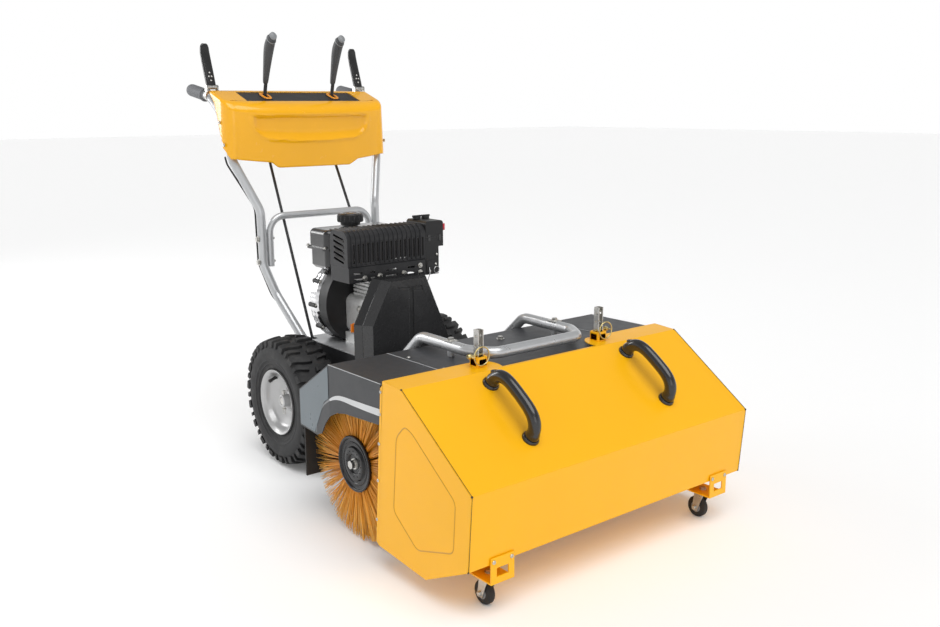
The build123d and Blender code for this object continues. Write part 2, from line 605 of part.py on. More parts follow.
def make_belt_case():
    front, seam, back = COVER_Y
    low = 146.0
    shapes = []
    for inset in (0.0, 3.0):
        near = Plane.XZ.offset(-front - inset) * face_of(case_outline(56, 121, 510, low, inset))
        far = Plane.XZ.offset(-back) * face_of(case_outline(82, 149, 516, low, inset))
        shapes.append(loft([near, far]))
    outer, inner = shapes
    shell = outer - inner
    groove = block(-7, 7, front - 1, front + 3, 200, 486)
    step_line = [(-46, 492), (34, 490), (38, 476), (12, 478), (4, 486), (-40, 488)]
    step_in = prism_y(step_line, front - 1, front + 2)
    cover = shell & block(-200, 200, front - 1, seam, low - 1, 530)
    cover -= rod((0, front - 5, BRUSH_IN_Z), (0, front + 8, BRUSH_IN_Z), 11)
    plate = block(-10, 10, front + 3, front + 5, 197, 489)
    cover = (cover - groove) + (plate & inner) - step_in
    keep("belt_cover", cover)
    rear = shell & block(-200, 200, seam + 0.2, back + 1, low - 1, 530)
    wall = inner & block(-200, 200, back - 3, back, low - 1, 530)
    wall -= rod((0, back - 9, CRANK_Z), (0, back + 9, CRANK_Z), 56)
    wall -= rod((0, back - 9, HEX[1]), (0, back + 9, HEX[1]), 14.0)
    wall -= rod((0, back - 9, BRUSH_IN_Z), (0, back + 9, BRUSH_IN_Z), 13.0)
    keep("belt_backplate", rear + wall)


def pulley(y, width, z, radius, bore):
    """V pulley about an axis along Y: y is its rear face."""
    half = width / 2
    outline = [(bore, y), (radius, y), (radius, y - 2), (radius - 7, y - half), (radius, y - width + 2),
               (radius, y - width), (bore, y - width)]
    return turned_y(outline, 0, z)


def loop_y(y, a, ra, b, rb, thick, width):
    """Closed band round two circles in a plane y = constant: centres are heights a, b at x = 0."""
    return Rot(0, 0, 90) * loop_x(y, (0.0, a), ra, (0.0, b), rb, thick, width)


def make_belts(chain):
    low = 4.1
    belts = [loop_y(TRACTION_BELT_Y - 6.5, CRANK_Z, 34 - low, HEX[1], 30 - low, 3.6, 3.0),
             loop_y(BRUSH_BELT_Y - 6.5, CRANK_Z, 34 - low, BRUSH_IN_Z, 26 - low, 3.6, 3.0)]
    keep("belts_and_chain", *belts, chain)
    shaft = rod((0, PIVOT_Y + 22, BRUSH_IN_Z), (0, -160, BRUSH_IN_Z), 8.0)
    shaft += Pos(0, PIVOT_Y, BRUSH_IN_Z) * Sphere(7.5)
    shaft += rod((0, PIVOT_Y, BRUSH_IN_Z), (0, PIVOT_Y + 24, BRUSH_IN_Z), 4.5)
    keep("brush_input_shaft", shaft + pulley(BRUSH_BELT_Y, 13, BRUSH_IN_Z, 26, 8.0))


# ---------------------------------------------------------------- sweeping head
def make_head():
    yoke = []
    for z0, z1 in ((91.0, 100.5), (145.5, 155.0)):
        cheek = block(-30, 30, PIVOT_Y - 42, PIVOT_Y, z0, z1) + rod((0, PIVOT_Y, z0), (0, PIVOT_Y, z1), 30)
        cheek -= rod((0, PIVOT_Y, z0 - 1), (0, PIVOT_Y, z1 + 1), 12.0)
        yoke.append(cheek)
    riser = block(-60, 60, PIVOT_Y - 50, PIVOT_Y - 42, 91, 262)
    riser -= rod((0, PIVOT_Y - 62, BRUSH_IN_Z), (0, PIVOT_Y - 30, BRUSH_IN_Z), 19)
    cross = block(-375, 375, PIVOT_Y - 50, PIVOT_Y - 20, 262, 292)
    cross -= block(-376, 376, PIVOT_Y - 47.5, PIVOT_Y - 22.5, 264.5, 289.5)
    frame = yoke[0] + yoke[1] + riser
    pin = rod((0, PIVOT_Y, 89), (0, PIVOT_Y, 157), 12.0) + rod((0, PIVOT_Y, 155.2), (0, PIVOT_Y, 158), 17)
    tube = ring((0, PIVOT_Y - 42, BRUSH_IN_Z), (0, BRUSH[0] + 34, BRUSH_IN_Z), 18.9, 14.0)
    housing = rod((-30, *BRUSH), (30, *BRUSH), 38)
    housing = fillet(housing.edges(), 6)
    housing -= rod((-23, *BRUSH), (23, *BRUSH), 32)
    housing -= rod((-31, *BRUSH), (31, *BRUSH), 11.0 + FIT)
    housing -= rod((0, *BRUSH), (0, BRUSH[0] + 60, BRUSH[1]), 14.0)
    worm_shaft = rod((0, PIVOT_Y - 24, BRUSH_IN_Z), (0, BRUSH[0] + 30, BRUSH_IN_Z), 7.0)
    worm_shaft += rod((0, BRUSH[0] + 30, BRUSH_IN_Z), (0, BRUSH[0] + 18, BRUSH_IN_Z), 8.0)
    fork = ring((0, PIVOT_Y - 24, BRUSH_IN_Z), (0, PIVOT_Y + 9, BRUSH_IN_Z), 13.0, 9.0)
    fork &= block(-14, 14, PIVOT_Y - 30, PIVOT_Y + 12, BRUSH_IN_Z - 5, BRUSH_IN_Z + 5)
    fork += rod((0, PIVOT_Y - 28, BRUSH_IN_Z), (0, PIVOT_Y - 16, BRUSH_IN_Z), 13.0)
    keep("worm_shaft", worm_shaft + fork)
    collar = ring((0, PIVOT_Y - 44, BRUSH_IN_Z), (0, PIVOT_Y - 56, BRUSH_IN_Z), 14.0, 7.0 + FIT)
    far = ring((0, BRUSH[0] + 60, BRUSH_IN_Z), (0, BRUSH[0] + 48, BRUSH_IN_Z), 14.0, 7.0 + FIT)
    keep("gearbox_housing", housing - tube, tube, collar, far)

    ring_gear = turned_x([(9, 11), (22, 11), (22, 20), (14, 30), (9, 30)], *BRUSH)
    shaft = rod((-BRUSH_X[1] - 3, *BRUSH), (BRUSH_X[1] + 3, *BRUSH), 11.0)
    star = []
    rows = 30
    for step in range(rows):
        angle = 2 * math.pi * step / rows
        root, tip = 3.0 / 56.0, 2.6 / BRUSH_R
        for radius, turn in ((56.0, -root), (BRUSH_R, -tip), (BRUSH_R, tip), (56.0, root)):
            spoke = angle + turn
            star.append((BRUSH[0] + radius * math.cos(spoke), BRUSH[1] + radius * math.sin(spoke)))
    half = prism_x(star, *BRUSH_X)
    half -= rod((BRUSH_X[0] - 1, *BRUSH), (BRUSH_X[1] + 1, *BRUSH), 50.0)
    core = ring((BRUSH_X[0], *BRUSH), (BRUSH_X[1], *BRUSH), 50.0, 46.0)
    for start in (BRUSH_X[0], BRUSH_X[1] - 6):
        core += ring((start, *BRUSH), (start + 6, *BRUSH), 47.0, 11.0)
    keep("bristles", *both(half))
    end = BRUSH_X[1]
    disc = turned_x([(end + 0.2, 12.2), (end + 0.2, 64), (end + 7, 64), (end + 7, 56), (end + 3, 52),
                     (end + 3, 40), (end + 7, 36), (end + 7, 22), (end + 4, 18), (end + 4, 12.2)], *BRUSH)
    keep("brush_end_discs", *both(disc))
    nut = rod((end + 3, *BRUSH), (end + 6.5, *BRUSH), 12.0)
    nut += bolt((end + 3.2, *BRUSH), (end + 6, *BRUSH), 5.0, head=2.0, height=1.0)
    keep("brush_shaft", shaft + ring_gear, *both(core), *both(nut))
    return [frame, cross, pin]


REAR_Y = -340.0
REAR_X = 392.0


def hood_plan():
    """Half plan of the hood: straight sides, then drawn in towards the rear."""
    return [(0, HOOD_FRONT), (HOOD_X, HOOD_FRONT), (HOOD_X, HOOD_CREST), (REAR_X, REAR_Y), (0, REAR_Y)]


def hood_profile(drop):
    """Top line of the hood in (y, z), lowered by drop."""
    return [(HOOD_FRONT, HOOD_TOP + 1 - drop), (HOOD_CREST, HOOD_TOP - 2 - drop),
            (REAR_Y - drop * 0.6, 312 - drop), (REAR_Y - drop, 226)]


def make_hood(posts):
    top = hood_profile(0.0)
    under = hood_profile(HOOD_T)
    sheet = prism_x(top + list(reversed(under)), -HOOD_X, HOOD_X)
    plan = prism_z(hood_plan(), 200, 420)
    wing = sheet & plan & block(SEAM_X + 0.4, HOOD_X + 1, -800, -300, 200, 420)
    centre_plan = plan + mirror(plan, Plane.YZ)
    centre = sheet & centre_plan & block(-SEAM_X, SEAM_X, -800, -300, 200, 420)
    skin = plan - prism_z([(-1, HOOD_FRONT - 2), (HOOD_X - HOOD_T, HOOD_FRONT - 2),
                           (HOOD_X - HOOD_T, HOOD_CREST), (REAR_X - HOOD_T, REAR_Y + 2), (-1, REAR_Y + 2)],
                          190, 430)
    side_low = 226.0
    side = [(-698.0, HOOD_TOP - 1.0), (HOOD_CREST, HOOD_TOP - 3.0), (REAR_Y - 1.5, 309.0),
            (REAR_Y - 1.5, side_low), (-428.0, side_low), (-452.0, 236.0), (-472.0, 264.0), (-497.0, 288.0),
            (-526.0, 302.0), (-560.0, 309.0), (-698.0, 319.0)]
    cheek = prism_x(side, REAR_X - 20, HOOD_X + 1) & skin
    for post in posts:
        centre -= post
    keep("hood_centre", centre)
    keep("hood_wings", *both(wing + cheek))

    flap = block(-385, 385, REAR_Y - 8, REAR_Y - 3, 100, 240)
    flap -= block(-24, 24, REAR_Y - 12, REAR_Y, 90, 204)
    keep("dust_flap", flap)

    leg = 158.0
    points = [(-leg, -418, 356), (-leg, -500, 430), (-leg, -668, 429), (-leg + 34, -724, 429),
              (leg - 34, -724, 429), (leg, -668, 429), (leg, -500, 430), (leg, -418, 356)]
    bumper = pipe(points, [48, 40, 34, 34, 40, 48], 13.0, 2.0)
    slope = prism_x([(HOOD_FRONT, 200), (HOOD_FRONT, HOOD_TOP + 1.3), (HOOD_CREST, HOOD_TOP - 1.7),
                     (REAR_Y, 312.3), (REAR_Y, 200)], -300, 300)
    bumper -= slope
    keep("bumper_tube", bumper)


def make_posts(head):
    """Posts, sleeves and arms that carry the collector."""
    x, y = POST
    half = POST_W / 2
    post = block(x - half, x + half, y - half, y + half, *POST_Z)
    post -= block(x - half + 2, x + half - 2, y - half - 1, y + half - 2, POST_Z[0] - 1, POST_Z[1] + 1)
    pin_hole = rod((x - 20, y, LYNCH_Z), (x + 20, y, LYNCH_Z), 2.7 + FIT)
    post -= pin_hole
    for z in (LYNCH_Z + 20, LYNCH_Z + 40):
        post -= rod((x - 20, y, z), (x + 20, y, z), 2.7)
    sleeve_x = half + 0.3
    low, high = POST_Z[0], POST_Z[0] + LIFT - 6
    sleeve = block(x - sleeve_x - 3, x + sleeve_x + 3, y - sleeve_x - 3, y + sleeve_x + 3, low, high)
    sleeve -= block(x - sleeve_x, x + sleeve_x, y - sleeve_x, y + sleeve_x, low - 5, high + 5)
    arm = block(x - 12, x + 12, y + sleeve_x + 3, -690, low + 4, high - 2)
    upright = block(x - 12, x + 12, -694, -690, low + 4, HOOD_TOP - 2.2)
    top = hood_profile(HOOD_T + 0.3)
    upright = upright & prism_x([top[0], top[1], (HOOD_CREST, 200), (HOOD_FRONT, 200)], 0, 400)
    keep("head_frame", *head, *both(sleeve + arm + upright))
    keep("collector_posts", *both(post))

    pin = rod((x - 14, y, LYNCH_Z), (x + 24, y, LYNCH_Z), 2.7)
    pin += rod((x + 22, y, LYNCH_Z), (x + 30, y, LYNCH_Z), 5.0)
    pin += rod((x + 26, y, LYNCH_Z), (x + 26, y - 18, LYNCH_Z), 1.6)
    pin += Pos(x + 6, y - 18, LYNCH_Z + 1.6) * Rot(90, 0, 0) * Torus(20.0, 1.4)
    keep("lynch_pin_right", pin)
    keep("lynch_pin_left", mirror(pin, Plane.YZ))
    slot = block(x - half - 3, x + half + 3, y - half - 3, y + half + 3, 380, 420)
    return both(slot)


# ---------------------------------------------------------------- collector
def offset_outline(points, inset):
    """Moves every side of a convex outline inwards by inset."""
    count = len(points)
    lines = []
    for index in range(count):
        (ay, az), (by, bz) = points[index], points[(index + 1) % count]
        length = math.hypot(by - ay, bz - az)
        ny, nz = (bz - az) / length, -(by - ay) / length
        lines.append((ay - ny * inset, az - nz * inset, by - ay, bz - az))
    moved = []
    for index in range(count):
        py, pz, dy, dz = lines[index - 1]
        qy, qz, ey, ez = lines[index]
        cross = dy * ez - dz * ey
        t = ((qy - py) * ez - (qz - pz) * ey) / cross
        moved.append((py + dy * t, pz + dz * t))
    return moved


def make_collector():
    inner = offset_outline(COLL, COLL_T)
    rear = [(-640, inner[5][1] - 2), (-640, inner[0][1] + 2)]
    cavity = prism_x(inner + rear, -COLL_X - 1, COLL_X + 1)
    side_x = COLL_X - COLL_T
    wrap = prism_x(COLL, -side_x, side_x) - cavity
    notch = block(-POST[0], POST[0], COLL[1][0] + 7, -600, 400, 425)
    tab_r = 42.0
    tab_y = COLL[0][0] - tab_r + 3
    for tab in both(rod((POST[0], tab_y, 395), (POST[0], tab_y, 430), tab_r)):
        notch -= tab
    wrap -= notch
    socket_half = POST_W / 2 + 0.5
    post_hole = block(POST[0] - socket_half, POST[0] + socket_half, POST[1] - socket_half,
                      POST[1] + socket_half, 380, 450)
    for hole in both(post_hole):
        wrap -= hole
    keep("collector_shell", wrap)

    emboss = [(-756, 308), (-742, 150), (-822, 93), (-940, 131), (-948, 235), (-811, 334), (-785, 340)]
    bead = prism_x(emboss, COLL_X - 0.9, COLL_X + 1)
    bead -= prism_x(offset_outline(emboss, 4.0), COLL_X - 2, COLL_X + 2)
    end_plate = prism_x(COLL, side_x, COLL_X) - bead
    keep("collector_sides", *both(end_plate))

    outer = socket_half + 6.5
    socket = block(POST[0] - outer, POST[0] + outer, POST[1] - outer, POST[1] + outer, 416.2, 430)
    socket = fillet(socket.edges().filter_by(Axis.Z), 5) - post_hole
    sockets = [item - wrap for item in both(socket)]

    slope_dir = Vector(0, COLL[2][0] - COLL[1][0], COLL[2][1] - COLL[1][1]).normalized()
    slope_out = Vector(0, slope_dir.Z, -slope_dir.Y)
    centre = Vector(0, -864.0, 0)
    share = (centre.Y - COLL[1][0]) / (COLL[2][0] - COLL[1][0])
    centre = Vector(0, centre.Y, COLL[1][1] + share * (COLL[2][1] - COLL[1][1]))

    def spot(along, out):
        """Point above the slope, from the middle of a handle."""
        point = centre + slope_dir * along + slope_out * out
        return (203.0, point.Y, point.Z)
    path = [spot(-72, 0.3), spot(-72, 30), spot(-46, 50), spot(46, 50), spot(72, 30), spot(72, 0.3)]
    bow = pipe(path, [14, 20, 20, 14], 13.0)
    for foot in (-72, 72):
        bow += rod(spot(foot, 0.3), spot(foot, 8), 15.5)
    keep("collector_handles", *both(bow))

    x, y = CASTER
    face_y = -986.0
    low = block(x - 29, x + 29, face_y, -908, 68, 71)
    low -= rod((x, y, 60), (x, y, 80), 5.0 + FIT)
    front = block(x - 29, x + 29, face_y, face_y + 3, 68, 122)
    front -= block(x - 15, x + 15, face_y - 5, face_y + 8, 82, 100)
    bracket = low + front - prism_x(COLL, -side_x, side_x)
    keep("collector_brackets", *sockets, *both(bracket))


def make_casters():
    x, y = CASTER
    wheel_y = y + TRAIL
    foot_z = CASTER_R - 7
    cheek = [(y - 11, 62), (y + 14, 62), (wheel_y + 7, foot_z), (wheel_y - 7, foot_z)]
    for name, side in (("right", 1), ("left", -1)):
        cx = side * x
        fork = block(cx - 13, cx + 13, y - 13, y + 15, 60, 62.5)
        for ear in (-1, 1):
            fork += prism_x(cheek, cx + ear * 12 - 1, cx + ear * 12 + 1)
        fork += rod((cx, y, 62), (cx, y, 76), 5.0)
        fork += ring((cx, y, 62.5), (cx, y, 67.4), 11.0, 5.0)
        fork += rod((cx - 15, wheel_y, CASTER_R), (cx + 15, wheel_y, CASTER_R), 3.0)
        keep("caster_fork_" + name, fork)
        wheel = ring((cx - 8.5, wheel_y, CASTER_R), (cx + 8.5, wheel_y, CASTER_R), CASTER_R, 3.0 + FIT)
        rims = wheel.edges().filter_by(GeomType.CIRCLE).group_by(SortBy.RADIUS)[-1]
        wheel = fillet(rims, 4.0)
        keep("caster_wheel_" + name, wheel)


def build_all():
    axle_bushes = make_wheels()
    disc_bush, chain = make_transmission()
    input_bush = ring((0, BOX_Y[0] - 2.5, BRUSH_IN_Z), (0, BOX_Y[0] + 18, BRUSH_IN_Z), 13.0, 8.0 + FIT)
    make_chassis(axle_bushes + [disc_bush, input_bush])
    make_handles()
    lever_bracket = make_panel()
    make_levers()
    make_paddles(lever_bracket)
    make_controls()
    make_engine()
    make_belt_case()
    make_belts(chain)
    head = make_head()
    post_slots = make_posts(head)
    make_hood(post_slots)
    make_collector()
    make_casters()


def main():
    build_all()
    os.makedirs("parts", exist_ok=True)
    for name, solids in PARTS.items():
        moved = [Pos(0, SHIFT_Y, 0) * solid for solid in solids]
        shape = moved[0] if len(moved) == 1 else Compound(children=moved)
        export_step(shape, "parts/" + name + ".step")
    print(len(PARTS), "nodes")


main()
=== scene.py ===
"""Looks of the walk-behind sweeper: materials for the CAD nodes and detailed pieces around them."""

import math
import random

import bmesh
import bpy
from mathutils import Matrix, Vector


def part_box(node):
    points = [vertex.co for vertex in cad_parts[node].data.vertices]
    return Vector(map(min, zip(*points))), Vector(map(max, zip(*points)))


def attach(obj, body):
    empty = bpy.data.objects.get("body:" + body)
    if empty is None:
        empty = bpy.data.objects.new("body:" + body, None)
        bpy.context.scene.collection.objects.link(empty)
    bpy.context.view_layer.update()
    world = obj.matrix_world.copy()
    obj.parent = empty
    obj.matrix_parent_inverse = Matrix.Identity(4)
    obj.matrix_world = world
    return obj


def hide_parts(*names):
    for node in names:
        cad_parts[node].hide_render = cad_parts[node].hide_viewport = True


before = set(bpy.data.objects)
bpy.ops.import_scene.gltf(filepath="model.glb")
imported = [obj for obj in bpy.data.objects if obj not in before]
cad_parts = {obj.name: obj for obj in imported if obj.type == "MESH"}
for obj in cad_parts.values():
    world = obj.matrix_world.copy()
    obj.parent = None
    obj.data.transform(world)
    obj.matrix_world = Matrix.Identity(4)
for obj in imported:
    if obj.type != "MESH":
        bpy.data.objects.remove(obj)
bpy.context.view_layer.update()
random.seed(7)

# ---------------------------------------------------------------- places, in millimetres from the wheel axle
low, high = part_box("axle_shaft")
AXLE_Y = (low.y + high.y) / 2


AXLE_Z = 175.0                      # wheel axle height
TYRE_MIDDLE = 229.0                 # middle plane of each tyre
RIM_FACE = 284.0                    # outer face of each rim
BRUSH_Y, BRUSH_Z = -529.0, 178.0    # brush axis
DISC_FACE = 361.2                   # inner face of the brush's end discs
LEVER_X = 110.0                     # shift levers, either side of the middle
PIVOT_Y, PIVOT_Z = 318.0, 955.0     # lever pivot
PADDLE = (243.0, 372.0, 1003.0)     # clutch paddle's pin
POST_X, POST_Y = 180.0, -736.0      # collector posts
CASTER_X, SWIVEL_Y = 326.0, -944.0  # caster stems
SIDE_PLATE = 407.5                  # outer face of the collector's sides
SHIELD_LEFT, SHIELD_FRONT = -131.0, -146.0
SHIELD_PITCH = 14.6                 # spacing of the muffler shield's ribs
BLOWER_X, BLOWER_Z = -24.0, 424.0   # centre of the blower housing
CAP_X, CAP_Y = -26.0, 8.0           # fuel cap axis


def at(x, y, z):
    """Millimetres, with y counted from the wheel axle, to metres in the row frame."""
    return Vector((x / 1000, y / 1000 + AXLE_Y, z / 1000))


# ---------------------------------------------------------------- materials
class Shader:
    """Small builder for a procedural material."""

    def __init__(self, name):
        self.mat = bpy.data.materials.new(name)
        self.mat.use_nodes = True
        self.tree = self.mat.node_tree
        self.bsdf = self.tree.nodes["Principled BSDF"]
        self.coords = self.node("ShaderNodeTexCoord").outputs["Object"]

    def node(self, kind, **values):
        made = self.tree.nodes.new(kind)
        for key, value in values.items():
            setattr(made, key, value)
        return made

    def link(self, a, b):
        self.tree.links.new(a, b)

    def noise(self, scale, detail=3.0, rough=0.5, stretch=(1, 1, 1)):
        mapping = self.node("ShaderNodeMapping")
        mapping.inputs["Scale"].default_value = stretch
        self.link(self.coords, mapping.inputs["Vector"])
        made = self.node("ShaderNodeTexNoise")
        made.inputs["Scale"].default_value = scale
        made.inputs["Detail"].default_value = detail
        made.inputs["Roughness"].default_value = rough
        self.link(mapping.outputs["Vector"], made.inputs["Vector"])
        return made.outputs["Fac"]

    def ramp(self, source, a, b, low=0.0, high=1.0):
        made = self.node("ShaderNodeMapRange")
        made.inputs["From Min"].default_value = a
        made.inputs["From Max"].default_value = b
        made.inputs["To Min"].default_value = low
        made.inputs["To Max"].default_value = high
        self.link(source, made.inputs["Value"])
        return made.outputs["Result"]

    def mix(self, factor, a, b):
        made = self.node("ShaderNodeMix", data_type="RGBA")
        for index, value in ((6, a), (7, b)):
            if isinstance(value, (tuple, list)):
                made.inputs[index].default_value = (*value, 1.0)
            else:
                self.link(value, made.inputs[index])
        self.link(factor, made.inputs[0])
        return made.outputs[2]

    def edge_mask(self, radius, low=0.02, high=0.25):
        """1 on sharp edges, 0 on flat areas."""
        bevel = self.node("ShaderNodeBevel", samples=4)
        bevel.inputs["Radius"].default_value = radius
        geometry = self.node("ShaderNodeNewGeometry")
        dot = self.node("ShaderNodeVectorMath", operation="DOT_PRODUCT")
        self.link(bevel.outputs["Normal"], dot.inputs[0])
        self.link(geometry.outputs["Normal"], dot.inputs[1])
        return self.ramp(dot.outputs["Value"], 1.0 - low, 1.0 - high, 0.0, 1.0)

    def bump(self, height, strength, distance=0.001, round_edges=0.0):
        made = self.node("ShaderNodeBump")
        made.inputs["Strength"].default_value = strength
        made.inputs["Distance"].default_value = distance
        self.link(height, made.inputs["Height"])
        if round_edges:
            bevel = self.node("ShaderNodeBevel", samples=4)
            bevel.inputs["Radius"].default_value = round_edges
            self.link(bevel.outputs["Normal"], made.inputs["Normal"])
        self.link(made.outputs["Normal"], self.bsdf.inputs["Normal"])


MATERIALS = {}


def finish(name, color, rough=0.45, metal=0.0, coat=0.0, coat_rough=0.08, vary=0.08, vary_scale=9.0,
           rough_vary=0.08, grain=900.0, grain_strength=0.08, edges=0.0008, painted_edge_light=None, painted_edge_light_amount=0.5,
           dust=0.0, specular=0.5, stretch=(1, 1, 1)):
    """Painted, moulded or metal surface with tone and gloss variation, fine grain and softened edges; optionally a
    painted edge highlight, lighter along edges and broken up by noise.
    """
    s = Shader(name)
    dark = tuple(c * (1 - vary) for c in color)
    light = tuple(min(1.0, c * (1 + vary * 0.5)) for c in color)
    tone = s.mix(s.ramp(s.noise(vary_scale, 4.0, 0.6), 0.3, 0.7), dark, light)
    if dust:
        patch = s.ramp(s.noise(16.0, 6.0, 0.7), 0.5, 0.85, 0.0, dust)
        tone = s.mix(patch, tone, (0.42, 0.40, 0.37))
    # Lighter colour along edges, broken up by noise: painted edge highlight.
    if painted_edge_light:
        broken = s.ramp(s.noise(140.0, 4.0, 0.7), 0.35, 0.65)
        edge = s.edge_mask(edges * 1.5)
        edge_light_mask = s.node("ShaderNodeMath", operation="MULTIPLY")
        s.link(edge, edge_light_mask.inputs[0])
        s.link(broken, edge_light_mask.inputs[1])
        limited = s.ramp(edge_light_mask.outputs["Value"], 0.0, 1.0, 0.0, painted_edge_light_amount)
        tone = s.mix(limited, tone, painted_edge_light)
    s.link(tone, s.bsdf.inputs["Base Color"])
    gloss = s.ramp(s.noise(34.0, 5.0, 0.65), 0.3, 0.7, rough - rough_vary / 2, rough + rough_vary / 2)
    s.link(gloss, s.bsdf.inputs["Roughness"])
    s.bsdf.inputs["Metallic"].default_value = metal
    s.bsdf.inputs["Coat Weight"].default_value = coat
    s.bsdf.inputs["Coat Roughness"].default_value = coat_rough
    s.bsdf.inputs["Specular IOR Level"].default_value = specular
    s.bump(s.noise(grain, 2.0, 0.5, stretch), grain_strength, 0.0006, edges)
    MATERIALS[name] = s.mat


finish("yellow_coat", (0.95, 0.47, 0.002), 0.36, coat=0.15, coat_rough=0.18, specular=0.35, vary=0.035,
       vary_scale=3.0, grain=420.0, grain_strength=0.05, edges=0.0012)
finish("yellow_plastic", (0.92, 0.44, 0.002), 0.24, coat=0.35, coat_rough=0.05, specular=0.4, vary=0.03,
       grain=1500.0, grain_strength=0.03, edges=0.002)
# Its light grey edge colour is painted edge highlight.
finish("hood_grey", (0.036, 0.038, 0.042), 0.44, vary=0.10, vary_scale=6.0, grain=700.0,
       grain_strength=0.14, edges=0.001, painted_edge_light=(0.45, 0.46, 0.47), painted_edge_light_amount=0.35)
finish("black_coat", (0.018, 0.018, 0.020), 0.38, specular=0.38, vary=0.2, grain=800.0,
       grain_strength=0.12, edges=0.0012, dust=0.05)
finish("black_plastic", (0.018, 0.018, 0.019), 0.42, specular=0.35, vary=0.2, grain=1600.0,
       grain_strength=0.2, edges=0.0012)
finish("black_gloss", (0.014, 0.014, 0.015), 0.22, coat=0.4, coat_rough=0.1, vary=0.2, grain=1100.0,
       grain_strength=0.05, edges=0.0016)
finish("cover_black", (0.030, 0.030, 0.031), 0.27, coat=0.3, vary=0.15, grain=900.0, grain_strength=0.14,
       edges=0.002)
finish("silver_tube", (0.52, 0.53, 0.54), 0.32, metal=0.55, vary=0.08, grain=600.0, grain_strength=0.06,
       edges=0.0008)
finish("silver_hammered", (0.56, 0.57, 0.58), 0.30, metal=0.65, vary=0.07, vary_scale=30.0, grain=230.0,
       grain_strength=0.35, edges=0.0008)
finish("rim_silver", (0.50, 0.50, 0.50), 0.36, metal=0.6, vary=0.06, grain=700.0, grain_strength=0.04,
       edges=0.001, dust=0.04)
finish("zinc", (0.60, 0.59, 0.56), 0.30, metal=1.0, vary=0.18, vary_scale=60.0, grain=500.0,
       grain_strength=0.12, edges=0.0005)
finish("zinc_yellow", (0.66, 0.55, 0.26), 0.30, metal=1.0, vary=0.2, vary_scale=90.0, grain=600.0,
       grain_strength=0.1, edges=0.0004)
finish("steel", (0.35, 0.35, 0.36), 0.33, metal=1.0, vary=0.12, grain=500.0, grain_strength=0.12,
       stretch=(1, 8, 8), edges=0.0005)
finish("cast_aluminium", (0.80, 0.80, 0.79), 0.42, metal=0.45, vary=0.12, vary_scale=25.0, grain=420.0,
       grain_strength=0.5, edges=0.0015)
finish("bright_metal", (0.72, 0.72, 0.73), 0.14, metal=1.0, vary=0.05, grain=700.0, grain_strength=0.03,
       edges=0.001)
finish("tyre_rubber", (0.020, 0.020, 0.021), 0.60, specular=0.35, vary=0.25, vary_scale=22.0, grain=520.0,
       grain_strength=0.45, edges=0.0015, dust=0.10)
finish("grip_rubber", (0.16, 0.165, 0.175), 0.62, vary=0.1, grain=1300.0, grain_strength=0.5, edges=0.001)
finish("lever_grey", (0.060, 0.063, 0.068), 0.50, vary=0.12, grain=1500.0, grain_strength=0.45, edges=0.001)
finish("cap_grey", (0.24, 0.25, 0.26), 0.35, vary=0.08, grain=1300.0, grain_strength=0.2, edges=0.0008)
finish("gate_orange", (0.90, 0.33, 0.015), 0.35, vary=0.05, grain=1300.0, grain_strength=0.1, edges=0.0006)
finish("red_plastic", (0.55, 0.012, 0.03), 0.3, coat=0.3, vary=0.08, grain=1200.0, grain_strength=0.06,
       edges=0.001)
finish("orange_plastic", (0.88, 0.24, 0.01), 0.35, vary=0.08, grain=1200.0, grain_strength=0.1, edges=0.001)
finish("disc_black", (0.010, 0.010, 0.011), 0.26, specular=0.4, vary=0.1, grain=1100.0,
       grain_strength=0.05, edges=0.001)
# Darker yellow for the side bead: painted shade of the groove.
finish("groove_shade", (0.62, 0.29, 0.002), 0.36, vary=0.04, grain=420.0, grain_strength=0.05, edges=0.0006)
# Light grey for thin strips along fold edges: painted highlight.
finish("edge_grey", (0.42, 0.43, 0.44), 0.4, vary=0.05, grain=900.0, grain_strength=0.05, edges=0.0004)
finish("plate_blue", (0.115, 0.145, 0.165), 0.30, vary=0.06, grain=900.0, grain_strength=0.05, edges=0.0004)
# Matte black rubber, also used for dark sheets and dots of painted shade in slots, relief holes and along folds.
finish("flap_rubber", (0.018, 0.016, 0.015), 0.7, vary=0.2, grain=700.0, grain_strength=0.3, edges=0.001)
# The next two: painted highlight on the upward-facing ledge above the hood's arch, the grey one for its dimmer,
# thinner tail.
finish("stripe_white", (0.62, 0.63, 0.64), 0.38, vary=0.04, grain=900.0, grain_strength=0.04, edges=0.0004)
finish("stripe_grey", (0.22, 0.23, 0.24), 0.40, vary=0.05, grain=900.0, grain_strength=0.05, edges=0.0004)


def bristle_material():
    """Orange bristles, each strand a little different, with painted shade darkening them towards the root."""
    s = Shader("bristle_orange")
    random_tone = s.node("ShaderNodeAttribute", attribute_name="tone").outputs["Fac"]
    tone = s.mix(random_tone, (0.95, 0.40, 0.02), (1.0, 0.62, 0.16))
    # Painted shade deep in the brush: darker orange near the root, blended out towards the tip by the per-point
    # 'depth' attribute.
    root_shade = s.node("ShaderNodeAttribute", attribute_name="depth").outputs["Fac"]
    tone = s.mix(root_shade, (0.80, 0.28, 0.008), tone)
    s.link(tone, s.bsdf.inputs["Base Color"])
    gloss = s.ramp(s.noise(200.0), 0.3, 0.7, 0.30, 0.45)
    s.link(gloss, s.bsdf.inputs["Roughness"])
    s.bsdf.inputs["Subsurface Weight"].default_value = 0.0
    s.bump(s.noise(900.0, 2.0, 0.5), 0.1, 0.0004)
    MATERIALS["bristle_orange"] = s.mat


bristle_material()

